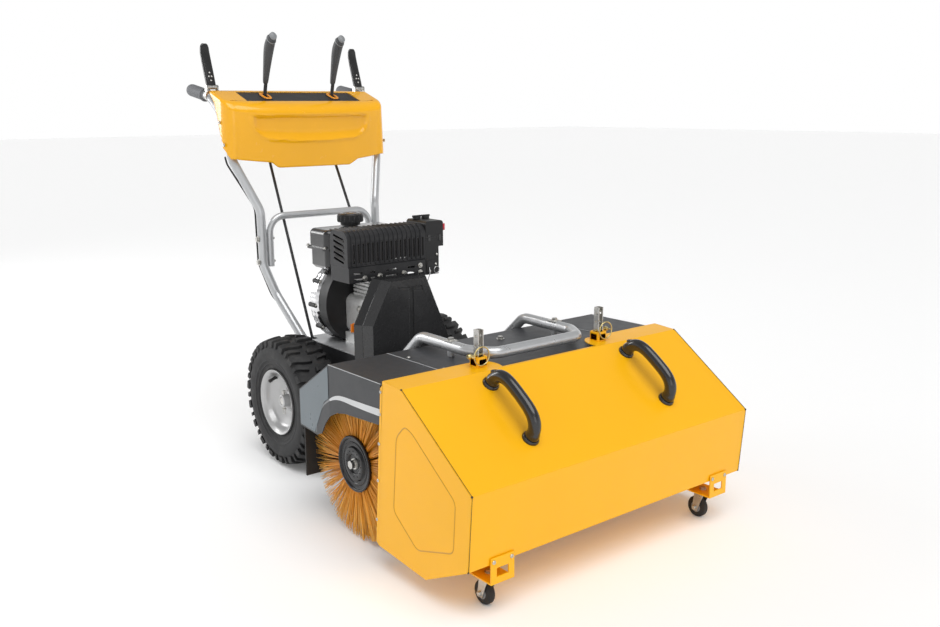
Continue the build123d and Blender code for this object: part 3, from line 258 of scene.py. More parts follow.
NODE_MATERIALS = {
    "yellow_coat": ("collector_shell", "collector_sides"),
    "yellow_plastic": ("control_panel",),
    "hood_grey": ("hood_centre", "hood_wings"),
    "black_coat": ("chassis_box", "head_frame", "gear_rod", "angle_rod", "heat_shield"),
    "black_plastic": ("panel_insert", "clutch_cables", "blower_housing", "carburettor_cover", "brush_end_discs",
                      "fuel_cap", "recoil_handle", "choke_knob", "throttle_knob", "paddle_left", "paddle_right",
                      "caster_wheel_left", "caster_wheel_right"),
    "black_gloss": ("fuel_tank", "collector_handles", "belt_backplate"),
    "cover_black": ("belt_cover",),
    "silver_tube": ("handle_tubes", "engine_deck"),
    "silver_hammered": ("bumper_tube",),
    "rim_silver": ("rims",),
    "zinc": ("axle_shaft", "shaft_bushes", "handle_bolts", "control_brackets", "collector_posts",
             "caster_fork_left", "caster_fork_right", "brush_shaft"),
    "zinc_yellow": ("lynch_pin_left", "lynch_pin_right"),
    "steel": ("hex_shaft", "friction_disc", "crankshaft", "brush_input_shaft", "worm_shaft"),
    "flap_rubber": ("dust_flap", "friction_wheel", "belts_and_chain"),
    "cast_aluminium": ("engine_block", "gearbox_housing"),
    "bright_metal": ("recoil_cover",),
    "tyre_rubber": ("tyres",),
    "grip_rubber": ("grips",),
    "lever_grey": ("gear_lever", "angle_lever"),
    "bristle_orange": ("bristles",),
    "orange_plastic": ("oil_cap",),
    "red_plastic": ("stop_switch",),
}
for material, nodes in NODE_MATERIALS.items():
    for name in nodes:
        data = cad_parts[name].data
        data.materials.clear()
        data.materials.append(MATERIALS[material])
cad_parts["collector_brackets"].data.materials.clear()
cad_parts["collector_brackets"].data.materials.append(MATERIALS["yellow_coat"])


# ---------------------------------------------------------------- mesh helpers
def piece(name, bm, material, body, smooth=35.0, bevel=0.0, subdivide=0):
    """Turns a bmesh into an object that rides on a body."""
    mesh = bpy.data.meshes.new(name)
    bm.normal_update()
    bm.to_mesh(mesh)
    bm.free()
    obj = bpy.data.objects.new(name, mesh)
    bpy.context.scene.collection.objects.link(obj)
    for item in (material if isinstance(material, (list, tuple)) else [material]):
        mesh.materials.append(MATERIALS[item])
    if bevel:
        modifier = obj.modifiers.new("bevel", "BEVEL")
        modifier.width = bevel
        modifier.segments = 2
        modifier.limit_method = "ANGLE"
        modifier.angle_limit = math.radians(32)
        modifier.harden_normals = False
    if subdivide:
        modifier = obj.modifiers.new("subdivision", "SUBSURF")
        modifier.levels = modifier.render_levels = subdivide
    if smooth:
        mesh.shade_smooth()
        mesh.set_sharp_from_angle(angle=math.radians(smooth))
    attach(obj, body)
    return obj


def add_box(bm, lo, hi):
    """Box between two corners in millimetres."""
    a, b = at(*lo), at(*hi)
    corners = [Vector((x, y, z)) for x in (a.x, b.x) for y in (a.y, b.y) for z in (a.z, b.z)]
    v = [bm.verts.new(c) for c in corners]
    for face in ((0, 1, 3, 2), (4, 6, 7, 5), (0, 4, 5, 1), (2, 3, 7, 6), (0, 2, 6, 4), (1, 5, 7, 3)):
        bm.faces.new([v[i] for i in face])


def axes_of(direction):
    """Two unit vectors across a direction."""
    d = Vector(direction).normalized()
    side = d.cross(Vector((0, 0, 1)))
    if side.length < 1e-3:
        side = d.cross(Vector((0, 1, 0)))
    side.normalize()
    return side, d.cross(side).normalized()


def add_lathe(bm, origin, direction, profile, segments=48, closed=False):
    """Turns (along, radius) points in millimetres about an axis through origin."""
    d = Vector(direction).normalized()
    u, w = axes_of(d)
    rings = []
    for along, radius in profile:
        centre = at(*origin) + d * (along / 1000)
        if radius < 1e-6:
            rings.append([bm.verts.new(centre)])
            continue
        ring = []
        for i in range(segments):
            angle = 2 * math.pi * i / segments
            ring.append(bm.verts.new(centre + (u * math.cos(angle) + w * math.sin(angle)) * radius / 1000))
        rings.append(ring)
    pairs = list(zip(rings, rings[1:]))
    if closed:
        pairs.append((rings[-1], rings[0]))
    for a, b in pairs:
        for i in range(segments):
            j = (i + 1) % segments
            if len(a) == 1 and len(b) == 1:
                continue
            if len(a) == 1:
                bm.faces.new((a[0], b[j], b[i]))
            elif len(b) == 1:
                bm.faces.new((a[i], a[j], b[0]))
            else:
                bm.faces.new((a[i], a[j], b[j], b[i]))
    return rings


def fillet(points, radius, steps=6):
    """Rounds the corners of an open line of points in millimetres."""
    pts = [Vector(p) for p in points]
    out = [pts[0]]
    for a, b, c in zip(pts, pts[1:], pts[2:]):
        to_a, to_c = (a - b), (c - b)
        reach = min(radius, to_a.length * 0.48, to_c.length * 0.48)
        p, q = b + to_a.normalized() * reach, b + to_c.normalized() * reach
        for i in range(steps + 1):
            t = i / steps
            out.append(p * (1 - t) ** 2 + b * 2 * t * (1 - t) + q * t * t)
    out.append(pts[-1])
    return out


def add_tube(bm, points, radius, segments=14, round_corners=0.0, flat=1.0, cap=True, up=None):
    """Sweeps a circle or ellipse along points; radius may be a list, one for each point."""
    pts = fillet(points, round_corners) if round_corners else [Vector(p) for p in points]
    radii = radius if isinstance(radius, (list, tuple)) else [radius] * len(pts)
    across = None
    rings = []
    for i, p in enumerate(pts):
        ahead = pts[min(i + 1, len(pts) - 1)] - pts[max(i - 1, 0)]
        ahead.normalize()
        if across is None:
            across = Vector(up) if up else axes_of(ahead)[0]
        across = (across - ahead * across.dot(ahead)).normalized()
        other = ahead.cross(across)
        ring = []
        for k in range(segments):
            angle = 2 * math.pi * k / segments
            offset = across * math.cos(angle) * radii[i] * flat + other * math.sin(angle) * radii[i]
            spot = p + offset
            ring.append(bm.verts.new(at(*spot)))
        rings.append(ring)
    for a, b in zip(rings, rings[1:]):
        for k in range(segments):
            j = (k + 1) % segments
            bm.faces.new((a[k], a[j], b[j], b[k]))
    if cap:
        bm.faces.new(list(reversed(rings[0])))
        bm.faces.new(rings[-1])
    return rings


def add_prism(bm, outline, direction, depth):
    """Extrudes a closed outline of millimetre points by depth along a direction."""
    d = Vector(direction).normalized() * depth / 1000
    base = [bm.verts.new(at(*p)) for p in outline]
    top = [bm.verts.new(v.co + d) for v in base]
    count = len(base)
    bm.faces.new(list(reversed(base)))
    bm.faces.new(top)
    for i in range(count):
        j = (i + 1) % count
        bm.faces.new((base[i], base[j], top[j], top[i]))


def bridge(bm, rings, closed=True):
    """Joins rows of vertices with quads; closed rows also join their last vertex to the first."""
    count = len(rings[0])
    for a, b in zip(rings, rings[1:]):
        for i in range(count if closed else count - 1):
            j = (i + 1) % count
            bm.faces.new((a[i], a[j], b[j], b[i]))


def add_hex(bm, origin, direction, radius, height, washer=0.0):
    """Hexagon head with a chamfered top, and a washer under it when asked."""
    d = Vector(direction).normalized()
    start = 0.0
    if washer:
        add_lathe(bm, origin, d, [(0, radius * 0.4), (0, washer), (1.4, washer), (1.4, radius * 0.4)], 24)
        start = 1.4
    add_lathe(bm, origin, d, [(start, 0), (start, radius), (start + height * 0.85, radius),
                              (start + height, radius * 0.86), (start + height, 0)], 6)


def add_pan(bm, origin, direction, radius, height):
    """Round screw head with a socket."""
    add_lathe(bm, origin, direction, [(0, 0), (0, radius), (height * 0.5, radius), (height, radius * 0.7),
                                      (height, radius * 0.35), (height * 0.4, radius * 0.3), (height * 0.4, 0)], 16)


def sides(make):
    """Runs a maker for the left (-1) and right (1) side."""
    for name, side in (("left", -1), ("right", 1)):
        make(name, side)


# ---------------------------------------------------------------- wheels
def make_tyre(name, side):
    """Tyre body turned from its section, with two staggered rows of tread blocks."""
    bm = bmesh.new()
    half = [(0, 166.2), (20, 165.4), (36, 163.2), (46, 158.5), (51.5, 151), (54, 142), (54.7, 132), (54, 122),
            (52.6, 116), (53.2, 114.5), (51.5, 113), (49.5, 106), (49.8, 104.4), (47.8, 103), (46, 96), (46.8, 94),
            (45.6, 92.4), (44.6, 89), (44.2, 84), (42, 80.5)]
    profile = [(-x, r) for x, r in reversed(half)] + half[1:]
    profile += [(36, 80.2), (-36, 80.2)]
    add_lathe(bm, (side * TYRE_MIDDLE, 0, AXLE_Z), (1, 0, 0), profile, 96, closed=True)
    wide = [(1, -6), (12, -10), (26, -12), (40, -11), (53, -12), (54, 8), (41, 9), (27, 6), (14, 5), (2, 6)]
    short = [(18, -7), (30, -9), (42, -8), (52, -9), (53, 7), (42, 8), (30, 6), (19, 6)]
    count = 18
    for i in range(count):
        turn = 2 * math.pi * i / count
        for row in (-1, 1):
            shift = turn + (math.pi / count if row > 0 else 0.0)
            for outline, extra in ((wide, 0.0), (short, math.pi / count)):
                shape = [(row * x, s + abs(x) * 0.32) for x, s in outline]
                if row < 0:
                    shape.reverse()
                if outline is short:
                    shape = [(x, s * 0.62 + abs(x) * 0.12) for x, s in shape]
                add_lug(bm, shape, side, shift + extra)
    bmesh.ops.recalc_face_normals(bm, faces=bm.faces)
    return piece("tyre_tread_" + name, bm, "tyre_rubber", "drive_axle", smooth=38.0)


def add_lug(bm, shape, side, turn):
    """One tread block: an outline of (x, arc) points wrapped round the tyre, with sloping sides."""
    mx = sum(p[0] for p in shape) / len(shape)
    ms = sum(p[1] for p in shape) / len(shape)
    rings = []
    for grow, level in ((1.12, 0), (1.0, 1), (0.88, 2)):
        ring = []
        for x, s in shape:
            px, ps = mx + (x - mx) * grow, ms + (s - ms) * grow
            px = max(-54.6, min(54.6, px))
            top = 174.9 - 8.5 * (px / 55.0) ** 2
            base = 150.0 if abs(px) > 48 else 161.0
            radius = (base, top - 2.0, top)[level]
            angle = turn + ps / 170.0
            ring.append(bm.verts.new(at(side * TYRE_MIDDLE + px, radius * math.sin(angle),
                                        AXLE_Z + radius * math.cos(angle))))
        rings.append(ring)
    bridge(bm, rings)
    bm.faces.new(rings[-1])


def make_rim(name, side):
    """Pressed rim with its valve, the pin through the hub and four studs."""
    x1 = RIM_FACE
    bm = bmesh.new()
    outside = [(x1 - 20.5, 10.2), (x1 - 20, 11.5), (x1 - 20, 16), (x1 - 21, 17), (x1 - 39.5, 17), (x1 - 41.5, 19),
               (x1 - 42.5, 22), (x1 - 42.2, 32), (x1 - 40, 37), (x1 - 39.6, 46), (x1 - 38, 51), (x1 - 34.5, 58),
               (x1 - 31.5, 66), (x1 - 29, 71), (x1 - 24, 74.5), (x1 - 17, 76.5), (x1 - 11, 79), (x1 - 7.5, 82.5),
               (x1 - 4.4, 86), (x1 - 3.6, 87.5), (x1 - 4.6, 88.4), (x1 - 7, 88.2), (x1 - 10, 87)]
    inside = [(x1 - 10.5, 80), (x1 - 60, 80), (x1 - 99.5, 80), (x1 - 100, 88), (x1 - 103, 88), (x1 - 104, 86),
              (x1 - 103, 76), (x1 - 60, 75), (x1 - 45, 68), (x1 - 45, 17.2), (x1 - 101, 17.2), (x1 - 102, 10.2)]
    add_lathe(bm, (0, 0, AXLE_Z), (side, 0, 0), outside + inside, 96, closed=True)
    bmesh.ops.recalc_face_normals(bm, faces=bm.faces)
    rim = piece("rim_dish_" + name, bm, "rim_silver", "drive_axle", smooth=42.0)

    bm = bmesh.new()
    lean = math.radians(38)
    spot = (side * (x1 - 33), 72 * math.sin(lean), AXLE_Z + 72 * math.cos(lean))
    inward = (side * 0.94, -0.34 * math.sin(lean), -0.34 * math.cos(lean))
    add_lathe(bm, spot, inward, [(0, 6.5), (3, 6.3), (6, 4.6), (16, 4.0), (20, 3.9), (20.5, 4.7), (27, 4.7),
                                 (28, 4.0), (28, 0)], 20)
    piece("valve_" + name, bm, "flap_rubber", "drive_axle", smooth=40.0)

    bm = bmesh.new()
    pin_x = side * (x1 - 28)
    add_tube(bm, [(pin_x, 0, AXLE_Z - 26), (pin_x, 0, AXLE_Z + 25)], 3.0, 12)
    add_lathe(bm, (pin_x, 0, AXLE_Z + 24), (0, 0, 1), [(0, 0), (0, 5.4), (3.2, 5.4), (4.2, 4.4), (4.2, 0)], 6)
    ring = [(pin_x + side * 1.0, 7.5 * math.sin(t), AXLE_Z - 26 - 3 + 7.5 * math.cos(t))
            for t in [math.radians(a) for a in range(20, 341, 16)]]
    add_tube(bm, ring, 1.1, 8)
    add_lathe(bm, (side * (x1 - 22.2), 0, AXLE_Z), (side, 0, 0), [(0, 0), (0, 9.9), (1.2, 9.2), (1.2, 0)], 32)
    piece("hub_pin_" + name, bm, "zinc", "drive_axle", smooth=40.0)

    bm = bmesh.new()
    for i in range(4):
        angle = math.radians(90 * i + 20)
        add_lathe(bm, (side * (x1 - 42.6), 27 * math.sin(angle), AXLE_Z + 27 * math.cos(angle)), (side, 0, 0),
                  [(0, 0), (0, 4.0), (1.2, 4.0), (1.8, 3.2), (1.8, 0)], 16)
    piece("rim_studs_" + name, bm, "rim_silver", "drive_axle", smooth=40.0)
    return rim


def make_wheels():
    """Both tyres and rims."""
    tyres = [make_tyre(n, s) for n, s in (("left", -1), ("right", 1))]
    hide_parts("tyres")
    rims = [make_rim(n, s) for n, s in (("left", -1), ("right", 1))]
    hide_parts("rims")


# ---------------------------------------------------------------- brush
def make_bristles(name, side):
    """Thin tapered strands in wavy rows, each a little bent and a little out of true."""
    inner, outer = 34.0, 361.0
    verts, faces, tones, root_shade_levels = [], [], [], []
    rng = random.Random(11 if side > 0 else 12)
    count = 5600
    for n in range(count):
        x = inner + (outer - inner) * rng.random()
        if n < 1500:
            x = outer - 22.0 * rng.random() ** 1.3
        angle = rng.random() * 2 * math.pi
        angle += 0.05 * math.sin(x * 0.09 + angle * 3) + 0.03 * math.sin(angle * 26 + x * 0.05)
        length = 175.0 - 9.0 * rng.random() ** 2.2 - 4.0 * (0.5 + 0.5 * math.sin(angle * 21 + x * 0.13))
        lean = (rng.random() - 0.5) * 0.09
        drift = (rng.random() - 0.5) * 10.0 + (5.0 * (x - 320) / 40 if x > 320 else 0.0)
        thick = 0.75 + 0.35 * rng.random()
        tone = rng.random()
        start = len(verts)
        steps = 3
        for k in range(steps + 1):
            t = k / steps
            radius = 50.0 + (length - 50.0) * t
            turn = angle + lean * t * t
            cx = min(x + drift * t, 364.0)
            size = thick * (1.0 - 0.35 * t)
            radial = (math.cos(turn), math.sin(turn))
            across = (-radial[1], radial[0])
            for ox, oa in ((size, 0.0), (-size * 0.5, size * 0.87), (-size * 0.5, -size * 0.87)):
                verts.append(at(side * (cx + ox), BRUSH_Y + radial[0] * radius + across[0] * oa,
                                BRUSH_Z + radial[1] * radius + across[1] * oa))
                # Painted root shade factor: low at the core, full colour near the tip.
                root_shade_levels.append(min(1.0, 0.15 + t * 1.1))
                tones.append(tone)
        for k in range(steps):
            a, b = start + 3 * k, start + 3 * k + 3
            for i in range(3):
                j = (i + 1) % 3
                faces.append((a + i, a + j, b + j, b + i))
        end = start + 3 * steps
        faces.append((end, end + 1, end + 2))
    mesh = bpy.data.meshes.new("bristle_strands_" + name)
    mesh.from_pydata(verts, [], faces)
    for key, values in (("tone", tones), ("depth", root_shade_levels)):
        mesh.attributes.new(key, "FLOAT", "POINT").data.foreach_set("value", values)
    mesh.materials.append(MATERIALS["bristle_orange"])
    obj = bpy.data.objects.new("bristle_strands_" + name, mesh)
    bpy.context.scene.collection.objects.link(obj)
    mesh.shade_smooth()
    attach(obj, "brush")
    return obj


def make_brush():
    """Bristles, end discs with their ribs, and the bolts of the brush."""
    strands = [make_bristles(n, s) for n, s in (("left", -1), ("right", 1))]
    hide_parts("bristles")
    for name, side in (("left", -1), ("right", 1)):
        bm = bmesh.new()
        base = (side * DISC_FACE, BRUSH_Y, BRUSH_Z)
        profile = [(0, 11), (0, 63), (2, 64), (6.2, 63.6), (7.2, 62.2), (7.2, 59), (6.0, 57.4), (3.4, 56.4),
                   (2.6, 54.5), (2.6, 50), (4.0, 48.6), (4.0, 46.4), (2.6, 45), (2.6, 40), (4.4, 38.4), (6.6, 37),
                   (7.2, 35), (7.2, 24), (6.2, 22.6), (3.4, 21.5), (3.0, 19), (3.0, 11)]
        add_lathe(bm, base, (side, 0, 0), profile, 72, closed=True)
        for i in range(12):
            angle = 2 * math.pi * i / 12
            spot = (side * 364.6, BRUSH_Y + 29.5 * math.cos(angle), BRUSH_Z + 29.5 * math.sin(angle))
            add_lathe(bm, spot, (side, 0, 0), [(3.0, 0), (4.6, 1.6), (4.6, 0)], 8)
        bmesh.ops.recalc_face_normals(bm, faces=bm.faces)
        piece("end_disc_" + name, bm, "disc_black", "brush", smooth=40.0)
        bm = bmesh.new()
        washer = [(0, 0), (0, 13), (1.6, 12.6), (1.6, 0)]
        add_lathe(bm, (side * 364.2, BRUSH_Y, BRUSH_Z), (side, 0, 0), washer, 32)
        add_hex(bm, (side * 365.8, BRUSH_Y, BRUSH_Z), (side, 0, 0), 9.0, 6.0)
        piece("end_bolt_" + name, bm, "zinc", "brush", smooth=35.0)
    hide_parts("brush_end_discs")


# ---------------------------------------------------------------- control panel
PANEL_SLOPE = 0.352


def panel_bottom(x):
    """Height of the panel's lower edge: a step down in the middle."""
    if -119 < x < 116:
        return 780.0
    if -137 < x < 146:
        return 780.0 + 15.0 * ((-119 - x) / 18.0 if x < 0 else (x - 116) / 30.0)
    return 795.0 + 12.0 * min(1.0, (abs(x) - 137) / 110.0)


def panel_top(y):
    """Height of the panel's sloping top."""
    return 962.0 + PANEL_SLOPE * (y - 262.0)


def panel_rear(z):
    """Rear edge of the panel's side walls at a height."""
    edge = [(795, 250), (812, 259), (838, 279), (865, 288), (897, 300), (927, 309), (962, 326), (990, 354)]
    for (z0, y0), (z1, y1) in zip(edge, edge[1:]):
        if z <= z1:
            return y0 + (y1 - y0) * max(0.0, z - z0) / (z1 - z0)
    return 354.0


def smooth_step(value, low, high):
    t = max(0.0, min(1.0, (value - low) / (high - low)))
    return t * t * (3 - 2 * t)


def recess_depth(x, z):
    """Depth of the hollow in the panel's face and of the lip that runs round it."""
    half = 186.0 - 0.019 * max(0.0, 905 - z) ** 2.0
    floor_z = 857.0 + 9.0 * (abs(x) / 180.0) ** 2
    inside_x = smooth_step(half - abs(x), -2.0, 12.0)
    inside_low = smooth_step(z - floor_z, -2.0, 22.0)
    inside_top = smooth_step(924.0 - z, -1.0, 5.0)
    depth = 8.0 * inside_x * inside_low * inside_top
    above = smooth_step(z, floor_z - 6, floor_z + 10)
    ring_x = math.exp(-((half + 3 - abs(x)) / 3.5) ** 2) * above * inside_top
    ring_low = math.exp(-((z - floor_z + 3) / 3.5) ** 2) * smooth_step(half - abs(x), -4.0, 8.0)
    return depth - 3.6 * max(ring_x, ring_low)


def panel_plan():
    """Plan of the panel, right rear to left rear: point, inward normal, edge radius, whether on the front."""
    right = []
    for y in (354, 346, 338, 330, 322, 314, 306, 298):
        right.append((264.0, float(y), -1.0, 0.0, 11.0, False))
    for i in range(13):
        a = math.pi / 2 * i / 12
        right.append((236.0 + 28 * math.cos(a), 290.0 - 43 * math.sin(a), -math.cos(a), math.sin(a),
                      11.0 + 19 * math.sin(a) ** 2, False))
    front = []
    for i in range(1, 74):
        x = 236.0 - 472.0 * i / 74
        front.append((x, 226.0 + 21.0 * (abs(x) / 236.0) ** 2.6, 0.0, 1.0, 30.0, True))
    left = [(-x, y, -nx, ny, r, f) for x, y, nx, ny, r, f in reversed(right)]
    return right + front + left


def make_panel():
    """Moulded control panel: a wall with a recess, a rounded brow and a sloping top round the insert."""
    plan = panel_plan()
    bm = bmesh.new()
    grid = []
    for kind, steps in (("wall", 34), ("round", 12)):
        for k in range(steps + 1 if kind == "wall" else steps):
            row = []
            for x, y, nx, ny, radius, front in plan:
                drop = 0.75 * radius
                if kind == "wall":
                    t = k / 34
                    low_z = panel_bottom(x) if front else 807.0
                    limit = panel_top(y) - drop
                    z = low_z + (limit - low_z) * t
                    py = y
                    px = x - math.copysign(4.0, x) * t * smooth_step(abs(x), 180, 240)
                    if front:
                        py += recess_depth(x, z) + 2.5 * (1 - t)
                    else:
                        for _ in range(3):    # settles on the wall's sloping rear edge
                            py = min(y, panel_rear(z))
                            z = low_z + (panel_top(py) - drop - low_z) * t
                        if py < min(y, 290.0):
                            bend = math.sqrt(max(0.0, 1 - ((290 - py) / 43) ** 2))
                            px = math.copysign(232.0 + 28 * bend, x)
                else:
                    turn = math.pi / 2 * (k + 1) / 12
                    slide = radius * (1 - math.cos(turn))
                    px = x - math.copysign(4.0, x) * smooth_step(abs(x), 180, 240) + nx * slide
                    py = y + ny * slide
                    z = panel_top(py) - drop * (1 - math.sin(turn))
                row.append(bm.verts.new(at(px, py, z)))
            grid.append(row)
    hole = []
    for v in grid[-1]:
        x = v.co.x * 1000
        y = (v.co.y - AXLE_Y) * 1000
        hx = max(-186.0, min(186.0, x * 0.82))
        hy = max(270.0, min(345.0, y)) if abs(x) > 240 and y > 294 else 270.0
        hole.append(bm.verts.new(at(hx, hy, panel_top(hy))))
    grid.append(hole)
    grid.append([bm.verts.new(v.co - Vector((0, 0, 0.007))) for v in hole])
    bridge(bm, grid, closed=False)
    ridge_row = []
    for x, y, z in ((-253, 354, 994.4), (-186, 354, 994.4), (186, 354, 994.4), (253, 354, 994.4)):
        ridge_row.append(at(x, y, z))
    corners = [bm.verts.new(c) for c in (hole[-1].co, ridge_row[1], ridge_row[2], hole[0].co)]
    bm.faces.new(corners)
    for end, outer in ((hole[0], ridge_row[2:]), (hole[-1], ridge_row[1::-1])):
        top = grid[-3][0] if end is hole[0] else grid[-3][-1]
        bm.faces.new([bm.verts.new(c) for c in (end.co, outer[0], top.co)])
    bmesh.ops.remove_doubles(bm, verts=bm.verts, dist=0.0004)
    bmesh.ops.recalc_face_normals(bm, faces=bm.faces)
    panel = piece("panel_shell", bm, "yellow_plastic", "chassis", smooth=48.0)
    thick = panel.modifiers.new("thickness", "SOLIDIFY")
    thick.thickness = 0.003
    thick.offset = -1.0
    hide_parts("control_panel")

    bm = bmesh.new()
    for side in (-1, 1):
        for y, z in ((296.0, 907.0), (274.0, 846.0)):
            add_pan(bm, (side * 263.6, y - 6, z), (side, 0, 0), 5.0, 2.6)
    piece("panel_screws", bm, "zinc", "chassis", smooth=35.0)


def on_panel(x, y, lift):
    """Point above the panel's insert."""
    return (x, y, 965.0 + 0.346 * (y - 270.5) + lift)


def make_gates():
    """Bright rims round the shift gates in the black insert."""
    bm = bmesh.new()
    count = 36
    for x in (-LEVER_X, LEVER_X):
        rings = []
        for half_x, near, far, power, lift in ((13.6, 286.0, 331.6, 0.7, 0.2), (13.6, 286.0, 331.6, 0.7, 2.0),
                                               (12.6, 287.2, 330.4, 0.7, 3.0), (6.6, 290.0, 329.0, 0.5, 3.0),
                                               (6.2, 290.4, 328.6, 0.5, 0.2)):
            ring = []
            for i in range(count):
                a = 2 * math.pi * i / count
                c, d = math.cos(a), math.sin(a)
                gx = x + half_x * math.copysign(abs(c) ** power, c)
                gy = (near + far) / 2 + (far - near) / 2 * math.copysign(abs(d) ** power, d)
                ring.append(bm.verts.new(at(*on_panel(gx, gy, lift))))
            rings.append(ring)
        bridge(bm, rings)
    piece("lever_gates", bm, "gate_orange", "chassis", smooth=40.0)


def make_levers():
    """The two shift levers: steel stems with moulded grips."""
    for name, x in (("gear", -LEVER_X), ("angle", LEVER_X)):
        body = name + "_lever_body"
        bm = bmesh.new()
        add_tube(bm, [(x, PIVOT_Y, PIVOT_Z), (x, 312, 985), (x, 303, 1018)], 5.2, 14)
        add_tube(bm, [(x - 18, PIVOT_Y, PIVOT_Z), (x + 18, PIVOT_Y, PIVOT_Z)], 5.0, 14)
        add_lathe(bm, (x - 11, PIVOT_Y, PIVOT_Z), (1, 0, 0), [(0, 0), (0, 9), (22, 9), (22, 0)], 20)
        add_box(bm, (x - 3, 322, 950), (x + 3, 344, 958))
        piece(name + "_stem", bm, "black_coat", body, smooth=40.0)
        bm = bmesh.new()
        line = [(x, 307, 1012), (x, 304, 1020), (x, 300, 1034), (x, 294, 1054), (x, 287, 1076), (x, 280, 1098),
                (x, 273, 1114), (x, 265, 1126), (x, 255, 1135), (x, 247, 1140)]
        radii = [7.5, 9.0, 10.0, 11.5, 13.5, 15.5, 16.5, 16.0, 14.5, 13.0]
        add_tube(bm, line, radii, 22, flat=0.86, up=(1, 0, 0))
        grip = piece(name + "_grip", bm, "lever_grey", body, smooth=60.0, subdivide=1)
        bm = bmesh.new()
        add_tube(bm, [(x, 247.5, 1139.8), (x, 244, 1141.6), (x, 242, 1142.6)], [12.0, 11.4, 9.0], 22, flat=0.88,
                 up=(1, 0, 0))
        piece(name + "_grip_cap", bm, "cap_grey", body, smooth=50.0)
        bm = bmesh.new()
        add_tube(bm, [(x, 259.5, 1131.4), (x, 257.5, 1132.9)], 15.9, 26, flat=0.86, up=(1, 0, 0))
        piece(name + "_grip_ring", bm, "cap_grey", body, smooth=50.0)
        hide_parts(name + "_lever")


def make_paddle(name, side):
    """Sheet-metal clutch paddle: a channel with its sides turned down, on a pin."""
    body = "paddle_%s_body" % name
    x = side * PADDLE[0]
    base = Vector((x, PADDLE[1], PADDLE[2]))
    along = Vector((0, 44, 122)).normalized()
    out = Vector((0, -along.z, along.y))
    section = [(-1.0, -9.0), (-1.0, -4.0), (-0.97, -1.6), (-0.88, -0.4), (-0.6, 0.3), (0.0, 0.5), (0.6, 0.3),
               (0.88, -0.4), (0.97, -1.6), (1.0, -4.0), (1.0, -9.0)]
    profile = [(-4, 10.6, 1.0), (6, 12.0, 1.0), (20, 12.4, 1.0), (44, 12.6, 0.9), (80, 12.6, 0.8), (108, 12.4, 0.7),
               (122, 11.6, 0.6), (129, 9.6, 0.45), (133, 6.0, 0.3)]
    bm = bmesh.new()
    grid = []
    for distance, half, depth in profile:
        distance *= 0.94
        curl = 5.0 * smooth_step(distance, 94.0, 125.0)
        grid.append([bm.verts.new(at(*(base + along * distance + Vector((a * half, 0, 0))
                                       + out * (4.0 + lift * depth + curl)))) for a, lift in section])
    bridge(bm, grid, closed=False)
    blade = piece("paddle_blade_" + name, bm, "black_gloss", body, smooth=60.0)
    shell = blade.modifiers.new("thickness", "SOLIDIFY")
    shell.thickness = 0.0022
    shell.offset = 0.0
    bm = bmesh.new()
    for distance, shift in ((18, 0), (30, -4), (30, 4), (41, 0)):
        spot = base + along * distance + Vector((shift, 0, 0)) + out * 5.4
        add_lathe(bm, spot, out, [(0, 0), (0, 2.6), (1.0, 2.4), (1.6, 1.4), (1.8, 0)], 14)
    add_lathe(bm, (x - 13, PADDLE[1], PADDLE[2]), (1, 0, 0), [(0, 0), (0, 6.2), (26, 6.2), (26, 0)], 20)
    piece("paddle_rivets_" + name, bm, "zinc", body, smooth=40.0)
    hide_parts("paddle_" + name)


def make_grips():
    """Ribbed rubber grips on the handle tubes."""
    for name, side in (("left", -1), ("right", 1)):
        bm = bmesh.new()
        start = Vector((side * 250.0, 372, 978))
        along = (Vector((side * 250.0, 491, 997)) - start).normalized()
        profile = [(28, 12.6), (28, 18.6), (29.5, 19.2), (32, 19.0), (33, 17.0)]
        for i in range(14):
            a = 36 + i * 5.4
            profile += [(a, 16.9), (a + 1.2, 17.5), (a + 3.4, 17.5), (a + 4.6, 16.9)]
        profile += [(114, 17.2), (118, 17.6), (122.5, 17.0), (124.4, 14.0), (125, 8.0), (125, 0)]
        add_lathe(bm, start, along, profile, 32)
        piece("grip_ribbed_" + name, bm, "grip_rubber", "chassis", smooth=40.0)
    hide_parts("grips")


# ---------------------------------------------------------------- collector
SLOPE = Vector((0, -218.0, -151.0)).normalized()
SLOPE_OUT = Vector((0, SLOPE.z, -SLOPE.y))


def on_slope(x, along, out):
    """Point on the collector's sloping face, from the middle of the handles."""
    centre = Vector((x, -864.0, 350.35))
    return centre + SLOPE * along + SLOPE_OUT * out


